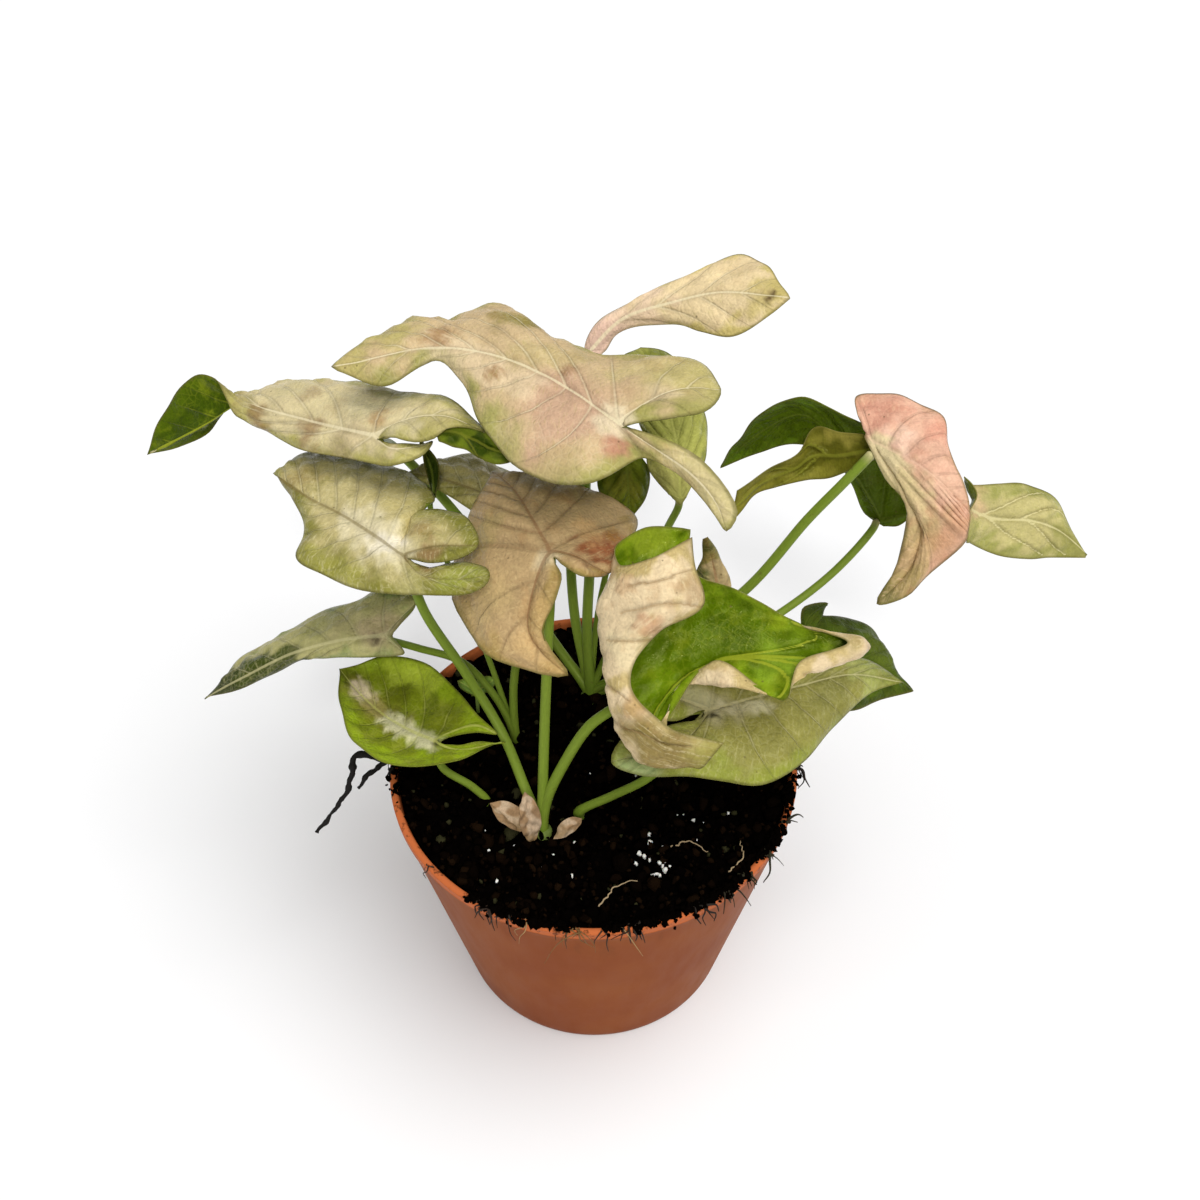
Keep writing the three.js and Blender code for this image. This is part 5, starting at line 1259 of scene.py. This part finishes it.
def leaf_material(name, vein, midrib, side_vein, fleck, fleck_amount, blotch, blotch_amount, roughness,
                  tint=CREAM_GLOSS, under=False, rib_colour=None):
    """Skin of a leaf: its vertex colours, broken up by veins with painted shade beside them, a fine net,
    flecks, blotches and specks.
    """
    graph = Graph(name, Specular_IOR_Level=0.18, Specular_Tint=tint)
    phase, sharpness, rib = graph.split(graph.field("lines"))
    margin_distance = graph.split(graph.field("form"))[0]
    soft = graph.noise(size=9, detail=3)
    fine = graph.noise(size=1.3, detail=4, roughness=0.65)
    net = graph.cells(size=2.1, feature="DISTANCE_TO_EDGE")
    pores = graph.cells(size=0.75)
    light = graph.total((soft, 0.55), (fine, 0.42), (pores, 0.16), (1.0, 0.46))
    colour = graph.shade(graph.tone(), light)

    # a pale net, streaky flecks, cloudy blotches and brown specks
    net_line = graph.product(graph.step(net, 0.13, 0.02), graph.step(soft, 0.4, 0.65, 0.02, 0.14))
    colour = graph.mix(net_line, colour, vein)
    streak = graph.noise(1.0, 4, 0.65, graph.scaled(graph.field("grain"), LEAF_STREAK))
    flecks = graph.product(graph.step(streak, 0.50, 0.66), graph.step(fine, 0.36, 0.6), fleck_amount)
    colour = graph.mix(flecks, colour, fleck)
    cloud = graph.noise(size=6.5, detail=4, roughness=0.6)
    colour = graph.mix(graph.step(cloud, 0.52, 0.72, 0, blotch_amount), colour, blotch)
    speck = graph.cells(SPECK_SIZE)
    chance = graph.split(graph.cells(SPECK_SIZE, output="Color"))[0]
    speck = graph.product(graph.step(speck, 0.11, 0.05), graph.step(chance, 0.70, 0.78, 0, 0.6))
    colour = graph.mix(speck, colour, SPECK_COLOUR)

    # side veins and midrib with painted shade beside them, as if sunk in the blade, and a darker rim round
    # the blade
    side_gap = graph.product(graph.math("PINGPONG", phase, 0.5), sharpness)
    gap = graph.math("MINIMUM", side_gap, rib)
    vein_side_shade = graph.product(graph.step(gap, 3.6, 1.2), 0.16)
    colour = graph.shade(colour, graph.math("SUBTRACT", 1.0, vein_side_shade))
    side_line = graph.product(graph.step(side_gap, 1.3, 0.3),
                              graph.step(soft, 0.36, 0.6, 0.3 * side_vein, side_vein),
                              graph.step(margin_distance, 1.5, 9),
                              graph.step(sharpness, 3, 10, 0.15, 1.0))
    colour = graph.mix(side_line, colour, vein)
    colour = graph.mix(graph.step(rib, 1.05, 0.35, 0, midrib), colour, rib_colour or vein)
    rim = graph.product(graph.step(margin_distance, 1.0, 0.1), 0.6)
    colour = graph.mix(rim, colour, BLADE_RIM_COLOUR)

    # veins sunk in the upper face and raised on the lower one, a fine grain, and wet glints
    groove = graph.product(graph.step(gap, 2.0, 0.2), graph.step(margin_distance, 0, 9, 0.3, 1.0),
                           graph.step(sharpness, 4, 11, 0.1, 1.0))
    groove_weight, net_weight = (0.65, -0.1) if under else (-0.65, 0.35)
    height = graph.total((groove, groove_weight), (graph.step(net, 0.0, 0.24), net_weight),
                         (fine, 0.5), (streak, 0.4), (pores, 0.25))
    wet = graph.step(graph.noise(size=0.9, detail=2), 0.56, 0.66, 0, 0.26)
    rough = graph.total((fine, 0.16), (soft, 0.14), (wet, -1.0), (1.0, roughness - 0.11))
    return graph.finish(colour, rough, graph.bump(height, 0.26, 0.9))


def stalk_material():
    """Waxy skin of the stalks: fine streaks along them, on the vertex colours."""
    graph = Graph("stalk_skin", Specular_IOR_Level=0.25, Specular_Tint=STALK_GLOSS)
    along, turn, _ = graph.split(graph.field("grain"))
    across, up = graph.math("SINE", turn), graph.math("COSINE", turn)
    place = graph.node("ShaderNodeCombineXYZ", {0: graph.product(along, STALK_STREAK), 1: across, 2: up})
    streak = graph.noise(0.16, 3, vector=place.outputs[0])
    fine = graph.noise(size=0.8, detail=3)
    colour = graph.shade(graph.tone(), graph.total((streak, 0.5), (fine, 0.2), (1.0, 0.66)))
    speck = graph.step(graph.noise(size=1.7, detail=2), 0.66, 0.72, 0, 0.35)
    colour = graph.mix(speck, colour, STALK_SPECK_COLOUR)
    height = graph.total((streak, 0.7), (fine, 0.3))
    return graph.finish(colour, graph.step(fine, 0.3, 0.7, 0.36, 0.5), graph.bump(height, 0.12, 0.6))


def pot_material():
    """Thin terracotta-brown plastic: faint streaks, dust, water marks, grime on the rim, and a painted
    highlight that makes the rim's top band brighter.
    """
    graph = Graph("pot_plastic", Specular_IOR_Level=0.05, Specular_Tint=POT_GLOSS)
    z = graph.split(graph.place)[2]
    cloud = graph.noise(size=26, detail=3)
    smear = graph.noise(5, 4, vector=graph.scaled(graph.place, POT_SMEAR))
    fine = graph.noise(size=0.7, detail=3)
    colour = graph.mix(graph.step(cloud, 0.3, 0.75), *POT_COLOURS)
    colour = graph.mix(graph.step(smear, 0.5, 0.75, 0, 0.12), colour, POT_MARK_COLOUR)
    dust = graph.product(graph.step(smear, 0.58, 0.72), graph.step(z, *DUST_HEIGHTS, 0.0, 0.3))
    colour = graph.mix(dust, colour, POT_DUST_COLOUR)
    # the top band of the rim is painted lighter: a painted highlight where the rim catches the light
    lip = graph.step(z, POT_HEIGHT - 3.4, POT_HEIGHT - 2.4)
    colour = graph.mix(lip, colour, LIP_HIGHLIGHT_COLOUR)
    grime = graph.product(graph.step(graph.noise(3.2, 4, 0.7), 0.55, 0.66), 0.75, lip)
    colour = graph.mix(grime, colour, GRIME_COLOUR)
    scratch = graph.noise(0.9, 2, vector=graph.scaled(graph.place, POT_SCRATCH))
    height = graph.total((fine, 0.25), (scratch, 0.3), (cloud, 0.6))
    rough = graph.step(smear, 0.3, 0.75, 0.44, 0.52)
    return graph.finish(colour, rough, graph.bump(height, 0.05, 0.5))


def soil_material():
    """Moist peat: nearly black, with brown fibres and a roughness that varies here and there."""
    graph = Graph("peat", Specular_IOR_Level=0.0)
    lumps = graph.noise(size=2.4, detail=5, roughness=0.7)
    fibre = graph.noise(0.7, 3, vector=graph.scaled(graph.place, PEAT_FIBRE))
    colour = graph.mix(graph.step(lumps, 0.4, 0.75), *PEAT_COLOURS)
    colour = graph.mix(graph.step(fibre, 0.60, 0.72, 0, 0.4), colour, PEAT_FIBRE_COLOUR)
    colour = graph.mix(0.3, colour, graph.tone())
    height = graph.total((lumps, 1.0), (fibre, 0.6), (graph.noise(size=0.5, detail=3), 0.5))
    rough = graph.step(graph.noise(size=5, detail=2), 0.4, 0.62, 0.55, 0.95)
    return graph.finish(colour, rough, graph.bump(height, 0.6, 1.0))


def dry_material(name, size, dark):
    """Dry papery or fibrous skin: vertex colours darkened along thin streaks of this size."""
    graph = Graph(name, Specular_IOR_Level=0.3)
    streak = graph.noise(size, 4, 0.65, graph.scaled(graph.place, DRY_STREAK))
    colour = graph.shade(graph.tone(), graph.step(streak, 0.25, 0.75, 0.72, 1.12))
    colour = graph.mix(graph.step(streak, 0.62, 0.74, 0, 0.6), colour, dark)
    return graph.finish(colour, DRY_ROUGHNESS, graph.bump(streak, 0.15, 0.8))


def perlite_material():
    graph = Graph("perlite", Roughness=0.75, Subsurface_Weight=0.1, Subsurface_Scale=0.001)
    pores = graph.cells(size=0.45)
    colour = graph.mix(graph.step(pores, 0.1, 0.5, 0.4, 0.0), *PERLITE_COLOURS)
    return graph.finish(colour, normal=graph.bump(pores, 0.2, 0.8))


# ---- leaves, scales and shoots ----
# curled sheets: their table and their steps along and across
CURLED_SHEETS = {
    "leaf_rolled": (ROLLED_LEAF, ROLLED_STEPS),
    "left_lobe": (LEFT_BACK_LOBE, LEFT_LOBE_STEPS),
    "back_lobe": (PINK_BACK_LOBE, BACK_LOBE_STEPS),
    "pink_tip": (PINK_TIP, PINK_TIP_STEPS),
}
# curled sheets that a leaf has besides its blade
CURLED_PARTS = {"leaf_left": ["left_lobe"], "leaf_pink": ["back_lobe", "pink_tip"]}


def toned_sheet(name):
    """A leaf's sheet with its relief, and the colours of its upper and its lower face."""
    look = LOOKS[name]
    if name in LEAVES:
        frame, sheet = leaf_sheet(LEAVES[name], look.veins)
    else:
        frame, sheet = curled_sheet(*CURLED_SHEETS[name])
    upper = sheet_tone(sheet, frame, look.inner, look.outer, look.edge, look.zones, look.seed)
    lower = sheet_tone(sheet, frame, *look.below, look.edge, look.zones_below, look.seed + LOWER_SEED)
    sheet.raise_by(relief(sheet, look.seed))
    return sheet, (upper, lower)


def add_leaves(skins):
    """Every leaf blade, in one piece with its curled sheets."""
    for name in [*LEAVES, "leaf_rolled"]:
        parts = [name, *CURLED_PARTS.get(name, [])]
        sheets, tones = zip(*[toned_sheet(part) for part in parts])
        pairs = [(skins[LOOKS[part].skin], skins[LOOKS[part].under]) for part in parts]
        finish_piece(thickened(f"{name}_blade", sheets, tones, pairs), LOOKS[name].slot, name)


def small_leaf(base, tip, width):
    """A small pointed scale or leaflet, dished along its middle, as a leaf table."""
    run = np.array(tip, float) - base
    length = np.linalg.norm(run)
    turn = (math.degrees(math.atan2(run[1], run[0])), math.degrees(math.asin(run[2] / length)), 0)
    sides = []
    for half in (width / 2, -width / 2):
        margin = [(length * along, half * out, abs(half) * dish) for along, out, dish in SCALE_MARGIN]
        sides.append(side(0, 1, 0, margin))
    return blade(base, turn, (length, 0, 0), [(length / 2, 0, 0)], *sides)


def add_sheaths(material):
    for name, sheath in SHEATHS.items():
        frame, sheet = leaf_sheet(small_leaf(*sheath), 1)
        tone = sheet_tone(sheet, frame, *SHEATH_COLOURS, SCALE_EDGE, [SHEATH_FOOT], SCALE_SEED)
        sheet.raise_by(ruffled(sheet.vertices, SCALE_DENT_SEED, SCALE_DENTS))
        tones = [(tone, tone * SHEATH_BACK_SHADE)]
        finish_piece(thickened(f"{name}_scale", [sheet], tones, [(material, material)]), "sheath", name)


def add_seedling(skins, stalk):
    sheets, tones = [], []
    for leaflet in SEEDLING_LEAFLETS:
        frame, sheet = leaf_sheet(small_leaf(*leaflet), SEEDLING_VEINS)
        tone = sheet_tone(sheet, frame, *LEAFLET_COLOURS, SCALE_EDGE, [], SCALE_SEED)
        sheets.append(sheet)
        tones.append((tone, tone * LEAFLET_BACK_SHADE))
    pairs = [(skins["green_skin"], skins["bright_underside"])] * len(sheets)
    finish_piece(thickened("seedling_leaflets", sheets, tones, pairs), "green_leaf")
    stem = Pile()
    path = smooth_path(SEEDLING_STEM, np.linspace(0, 1, SEEDLING_STEPS))
    stem.add_tube(path, [SEEDLING_RADIUS] * SEEDLING_STEPS, SEEDLING_SIDES, linear(SEEDLING_STEM_COLOUR))
    finish_piece(stem.piece("seedling_stem", stalk), "green_leaf", "seedling")


def stalk_tones():
    """Colours down a stalk: paler where the blade begins, darker in the soil."""
    share = np.repeat(np.linspace(0, 1, STALK_STEPS), STALK_SIDES)
    foot, body, top = (linear(colour) for colour in STALK_COLOURS)
    tone = mixed(smoothstep(*STALK_FOOT, share), body, foot)
    return mixed(1 - smoothstep(*STALK_TOP, share), tone, top)


def stalk_start(carried, below):
    """The two topmost points of a stalk: under the leaf that it carries, or running on past its own end."""
    if carried in LEAVES:
        leaf = LEAVES[carried]
        return LeafFrame(leaf["hub"], leaf["turn"]).place(STALK_START)
    end = np.array(carried, float)
    return [STALK_TOPS.get(carried, end + BLIND_RUN * unit(end - below)), end]


def add_shoots(material):
    """Each crown with its stalks, which run from their leaves down into it."""
    at_crown = np.linspace(0, 1, CROWN_STEPS)
    at = np.linspace(0, 1, STALK_STEPS)
    thinning = STALK_TOP_THINNING * (1 - smoothstep(0, STALK_TOP_END, at))
    swell = 1 - thinning + STALK_FOOT_SWELL * smoothstep(*STALK_FOOT, at)
    swell = (1 - STALK_TAPER + STALK_TAPER * at) * swell
    foot = SOIL_LEVEL - HOLE_DEPTH
    crown_tone = mixed([CROWN_SHARE], linear(STALK_COLOURS[0]), linear(CROWN_COLOUR))
    tones = stalk_tones()
    for name, ((x, y), radius, top, stalks) in SHOOTS.items():
        pile = Pile()
        heights = [foot, foot + CROWN_FOOT_RISE, *[top + rise for rise in CROWN_TOP_RISES]]
        radii = radius * np.interp(at_crown, np.linspace(0, 1, len(CROWN_SWELL)), CROWN_SWELL)
        pile.add_tube(smooth_path([(x, y, z) for z in heights], at_crown), radii, STALK_SIDES, crown_tone)
        for stalk_radius, carried, points in stalks:
            in_crown = [(x, y, top + rise) for rise in STALK_END_RISES]
            path = smooth_path([*stalk_start(carried, points[0]), *points, *in_crown], at)
            pile.add_tube(path, stalk_radius * swell, STALK_SIDES, tones, STALK_GROOVE)
        finish_piece(pile.piece(f"{name}_stalks", material), "stem", name)


# ---- pot and soil ----
def outer_radius(z):
    return POT_BASE_RADIUS + (POT_TOP_RADIUS - POT_BASE_RADIUS) * z / POT_HEIGHT


SOIL_RADIUS = outer_radius(SOIL_LEVEL + SOIL_EDGE_RISE - SOIL_EDGE_DROP) - RIM_WALL - GAP


def lathe(profile, sides):
    """Vertices and faces of a closed turned body; the profile starts and ends on the axis."""
    turns = 2 * math.pi * np.arange(sides) / sides
    rings = [[[r * math.cos(turn), r * math.sin(turn), z] for turn in turns] for r, z in profile[1:-1]]
    vertices = [point for ring in rings for point in ring]
    faces = []
    for k in range(len(rings) - 1):
        for i in range(sides):
            j = (i + 1) % sides
            faces.append([k * sides + i, k * sides + j, (k + 1) * sides + j, (k + 1) * sides + i])
    for z, first, flip in ((profile[0][1], 0, True), (profile[-1][1], (len(rings) - 1) * sides, False)):
        centre = len(vertices)
        vertices.append([0, 0, z])
        for i in range(sides):
            j = (i + 1) % sides
            faces.append([first + j, first + i, centre] if flip else [first + i, first + j, centre])
    return np.array(vertices), faces


def pot_profile():
    """Outer wall, rolled lip and inner wall of the pot, from the middle of its base round to its floor."""
    profile = [(0, 0), (20, 0), (38, 0), (POT_BASE_RADIUS - BASE_ROUND, 0)]
    for z in (0.3, 0.7, BASE_ROUND):
        profile.append((outer_radius(z) - BASE_ROUND_DEPTH * (1 - z / BASE_ROUND), z))
    foot = POT_HEIGHT - LIP_DROP
    profile += [(outer_radius(z), z) for z in np.linspace(4, foot - 0.6, WALL_RINGS)]
    profile += [(outer_radius(foot) + 0.05, foot - 0.25), (POT_TOP_RADIUS - 0.15, foot)]
    bead = RIM_WALL / 2
    bead_height = bead * BEAD_FLATNESS
    for angle in np.radians(BEAD_ANGLES):
        z = POT_HEIGHT - bead_height * (1 - math.sin(angle))
        profile.append((RING_RADIUS + bead * math.cos(angle), z))
    rim_foot = POT_HEIGHT - RIM_HEIGHT
    profile += [(outer_radius(rim_foot) - RIM_WALL, rim_foot)]
    inner_heights = [rim_foot - 1, *np.linspace(rim_foot - 3, POT_FLOOR + 1, INNER_WALL_RINGS)]
    profile += [(outer_radius(z) - POT_WALL, z) for z in inner_heights]
    profile += [(outer_radius(POT_FLOOR) - POT_WALL - 1, POT_FLOOR), (30, POT_FLOOR), (0, POT_FLOOR)]
    return profile


def cut_drain_holes(pot):
    pile = Pile()
    for turn in 2 * math.pi * np.arange(DRAIN_HOLES) / DRAIN_HOLES:
        x, y = DRAIN_CIRCLE * math.cos(turn), DRAIN_CIRCLE * math.sin(turn)
        path = np.array([(x, y, z) for z in (-4, 0, POT_FLOOR + 4)])
        pile.add_tube(path, [DRAIN_RADIUS] * len(path), DRAIN_SIDES, (0, 0, 0))
    cutter = pile.piece("drain_cutter")
    cut = pot.modifiers.new("drain_holes", "BOOLEAN")
    cut.operation, cut.solver, cut.object = "DIFFERENCE", "EXACT", cutter
    evaluated = pot.evaluated_get(bpy.context.evaluated_depsgraph_get())
    mesh = bpy.data.meshes.new_from_object(evaluated)
    pot.modifiers.clear()
    pot.data = mesh
    bpy.data.objects.remove(cutter)


def add_pot(material):
    vertices, faces = lathe(pot_profile(), POT_SIDES)
    pot = new_object("pot_shell", smooth_mesh("pot_shell", vertices, faces, [material]))
    cut_drain_holes(pot)
    pot.data.set_sharp_from_angle(angle=math.radians(POT_SHARP_ANGLE))
    finish_piece(pot, "pot_plastic", "pot")


def soil_height(x, y):
    """Height of the soil's top, which banks up to the rim; the same lumps as in the CAD part."""
    edge = np.hypot(x, y) / POT_TOP_RADIUS
    lumps = np.sin(x * 0.31 + 1.1) * np.cos(y * 0.27) + 0.6 * np.sin(x * 0.13 - y * 0.41)
    return SOIL_LEVEL + SOIL_EDGE_RISE * edge ** 4 + SOIL_LUMP * lumps * (1 - edge ** 4)


def add_soil(material):
    """The peat's body: a rough top over a plain core that fills the pot."""
    floor = POT_FLOOR + GAP
    wall = outer_radius(floor) - POT_WALL - GAP
    profile = [(0, floor), (wall - 1, floor), (wall - 0.4, floor + 1)]
    for z in np.linspace(10, SOIL_LEVEL - 3, SOIL_WALL_RINGS):
        profile.append((outer_radius(z) - POT_WALL - GAP - 0.2, z))
    profile += [(SOIL_RADIUS * (1 - share), SOIL_LEVEL) for share in np.linspace(0, 0.985, SOIL_RINGS)]
    profile += [(0, SOIL_LEVEL)]
    vertices, faces = lathe(profile, SOIL_SIDES)
    top = vertices[:, 2] > SOIL_LEVEL - 0.1
    heights = soil_height(*vertices[:, :2].T) + ruffled(vertices, 1, SOIL_ROUGHNESS)
    vertices[:, 2] = np.where(top, heights, vertices[:, 2])
    mesh = smooth_mesh("soil_body", vertices, faces, [material])
    store_tone(mesh, np.tile(linear(CRUMB_DARK), (len(vertices), 1)))
    finish_piece(new_object("soil_body", mesh), "soil", "soil")


# ---- crumbs, grains and roots ----
def lump(draw, size, flatness=LUMP_FLATNESS):
    """A small irregular grain: a squashed, dented ball."""
    rings, sides = LUMP_RINGS, LUMP_SIDES
    points = [[0, 0, -1]]
    for i in range(1, rings):
        radius, z = math.sin(math.pi * i / rings), -math.cos(math.pi * i / rings)
        for j in range(sides):
            turn = 2 * math.pi * (j + 0.5 * (i % 2)) / sides
            points.append([radius * math.cos(turn), radius * math.sin(turn), z])
    points.append([0, 0, 1])
    faces = [[0, 1 + (j + 1) % sides, 1 + j] for j in range(sides)]
    for i in range(rings - 2):
        a, b = 1 + i * sides, 1 + (i + 1) * sides
        faces += [[a + j, a + (j + 1) % sides, b + (j + 1) % sides, b + j] for j in range(sides)]
    last = len(points) - 1
    faces += [[last, last - sides + j, last - sides + (j + 1) % sides] for j in range(sides)]
    scaled = np.array(points) * draw.uniform(*LUMP_STRETCH, 3) * [1, 1, flatness]
    scaled = scaled * (1 + LUMP_DENTS * draw.normal(size=(len(points), 1)))
    turn = np.array(Euler(draw.uniform(0, 2 * math.pi, 3)).to_matrix())
    return scaled @ turn.T * size, faces


def add_soil_crumbs(pile, draw):
    """Peat crumbs over the top of the soil, most of them small and dark."""
    least, spread, greatest = CRUMB_SIZES
    for _ in range(CRUMBS):
        radius = SOIL_RADIUS * math.sqrt(draw.uniform(0, 1)) * CRUMB_REACH
        angle = draw.uniform(0, 2 * math.pi)
        x, y = radius * math.cos(angle), radius * math.sin(angle)
        size = min(least + draw.exponential(spread), greatest)
        points, faces = lump(draw, size)
        shade = draw.uniform(0, 1)
        colour = mixed([shade ** 3], linear(CRUMB_DARK), linear(CRUMB_BROWN))
        if shade > ODD_CRUMB_SHARE:
            colour = linear(CRUMB_ODD)
        pile.add(points + [x, y, soil_height(x, y) + CRUMB_LIFT + size / 4], faces, colour)


def add_rim_dirt(pile, draw):
    """Crumbs that cling to the rim in clumps."""
    least, more = RIM_CRUMB_SIZES
    for start, end, count in RIM_DIRT:
        clumps = draw.uniform(start, end, max(3, count // CLUMP_SIZE))
        for _ in range(count):
            angle = math.radians(draw.choice(clumps) + draw.normal(0, RIM_CRUMB_TURN))
            off = draw.normal(*RIM_CRUMB_OFF)
            size = least + more * draw.uniform(0, 1) ** 2
            points, faces = lump(draw, size)
            radius = RING_RADIUS + off
            height = POT_HEIGHT + size / 4 - RIM_SLOPE * max(0, abs(off) - RIM_TOP_WIDTH)
            place = [radius * math.cos(angle), radius * math.sin(angle), height]
            pile.add(points + place, faces, linear(RIM_CRUMB))


def add_crumbs(soil, perlite):
    """Peat crumbs on the soil and the rim, and white perlite grains among them."""
    draw = np.random.default_rng(CRUMB_SEED)
    crumbs = Pile()
    add_soil_crumbs(crumbs, draw)
    add_rim_dirt(crumbs, draw)
    finish_piece(crumbs.piece("soil_crumbs", soil), "soil")
    grains = Pile()
    for x, y, spread, count, size in PERLITE:
        for _ in range(count):
            place = np.array([x, y]) + draw.normal(size=2) * spread
            if np.hypot(*place) > SOIL_RADIUS - PERLITE_MARGIN:
                continue
            points, faces = lump(draw, size * draw.uniform(*PERLITE_SIZES), PERLITE_FLATNESS)
            grains.add(points + [*place, soil_height(*place) + PERLITE_LIFT], faces, PERLITE_TONE)
    finish_piece(grains.piece("perlite_grains", perlite), "soil")


def fringe_path(draw, middle, spread, reach):
    """A fibre that starts on the rim and falls over its edge."""
    angle = math.radians(middle + draw.normal(0, spread))
    outward = np.array([math.cos(angle), math.sin(angle), 0])
    along = np.array([-math.sin(angle), math.cos(angle), 0])
    start = outward * (RING_RADIUS + draw.uniform(*FRINGE_START)) + [0, 0, POT_HEIGHT + FRINGE_LIFT]
    heading = outward * draw.uniform(*FRINGE_OUT) + along * draw.normal(0, FRINGE_SLANT)
    length = reach * draw.uniform(*FRINGE_LENGTHS)
    first_stray, later_stray = FRINGE_STRAYS
    points = [start, start + heading * length * FRINGE_RUN + draw.normal(0, first_stray, 3)]
    for fall in FRINGE_FALLS:
        drop = [0, 0, -length * FRINGE_DROP * fall]
        points.append(points[-1] + heading * length * FRINGE_FALL_RUN + drop + draw.normal(0, later_stray, 3))
    return smooth_path(points, np.linspace(0, 1, FRINGE_STEPS))


def add_roots(root, hair):
    """The stray dry root at the left, fringes of fibre over the rim and pale hair roots on the soil."""
    strand = Pile()
    taper = ROOT_SWELL - ROOT_TAPER * np.linspace(0, 1, ROOT_STEPS)
    for radius, points in STRAY_ROOTS:
        path = wandering(points, ROOT_STEPS, *ROOT_WANDER)
        radii = radius * taper * (1 + ruffled(path, ROOT_KNOT_SEED, ROOT_KNOTS))
        strand.add_tube(path, radii, ROOT_SIDES, linear(ROOT_COLOUR))
    finish_piece(strand.piece("stray_root_strand", root), "root", "stray_root")
    draw = np.random.default_rng(FRINGE_SEED)
    hairs = Pile()
    taper = 1 - FRINGE_TAPER * np.linspace(0, 1, FRINGE_STEPS)
    for middle, spread, count, reach, colour, radius in FRINGES:
        for _ in range(count):
            path = fringe_path(draw, middle, spread, reach)
            radii = radius * draw.uniform(*FRINGE_RADII) * taper
            hairs.add_tube(path, radii, FRINGE_SIDES, linear(colour))
    radii = PALE_ROOT_RADIUS * (1 - PALE_ROOT_TAPER * np.linspace(0, 1, PALE_ROOT_STEPS))
    for points in PALE_ROOTS:
        path = wandering(points, PALE_ROOT_STEPS, *PALE_ROOT_WANDER)
        hairs.add_tube(path, radii, PALE_ROOT_SIDES, linear(PALE_ROOT_COLOUR))
    finish_piece(hairs.piece("root_hairs", hair), "root")


# ---- camera, floor and light ----
def add_stage():
    """White floor, two suns, a pale sky and the camera."""
    corners = [(-1, -1, 0), (1, -1, 0), (1, 1, 0), (-1, 1, 0)]
    floor = bpy.data.meshes.new("floor")
    floor.from_pydata((np.array(corners) * FLOOR_HALF).tolist(), [], [(0, 1, 2, 3)])
    graph = Graph("white_ground", Roughness=0.9, Specular_IOR_Level=0.1)
    cloud = graph.step(graph.noise(FLOOR_CLOUD_SIZE, 3), 0.3, 0.7)
    floor.materials.append(graph.finish(graph.mix(cloud, *FLOOR_COLOURS)))
    new_object("floor", floor)

    for name, strength, spread, turn in LIGHTS:
        light = bpy.data.lights.new(name, "SUN")
        light.energy, light.angle = strength, math.radians(spread)
        sun = new_object(name, light)
        sun.location = (0, 0, SUN_HEIGHT)
        sun.rotation_euler = Euler([math.radians(angle) for angle in turn])

    world = bpy.data.worlds.new("surround")
    world.use_nodes = True
    background = world.node_tree.nodes["Background"]
    background.inputs["Color"].default_value = (1, 1, 1, 1)
    background.inputs["Strength"].default_value = SKY_STRENGTH
    bpy.context.scene.world = world

    lens = bpy.data.cameras.new("photo_camera")
    lens.lens, lens.sensor_width = CAMERA_LENS, SENSOR_WIDTH
    lens.clip_start, lens.clip_end = CAMERA_RANGE
    camera = new_object("photo_camera", lens)
    camera.location = CAMERA_PLACE
    camera.rotation_euler = Euler((math.radians(CAMERA_TILT), 0, 0))
    scene = bpy.context.scene
    scene.camera = camera
    scene.view_settings.view_transform = "Standard"


def main():
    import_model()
    skins = {name: leaf_material(name, *look) for name, look in SKINS.items()}
    stalk = stalk_material()
    peat = soil_material()
    add_leaves(skins)
    add_shoots(stalk)
    add_sheaths(dry_material("dry_sheath", 0.7, "#8a6a4c"))
    add_seedling(skins, stalk)
    add_pot(pot_material())
    add_soil(peat)
    add_crumbs(peat, perlite_material())
    add_roots(dry_material("dry_root", 0.6, "#070504"), dry_material("root_hair", 0.5, "#2a1a10"))
    add_stage()


main()
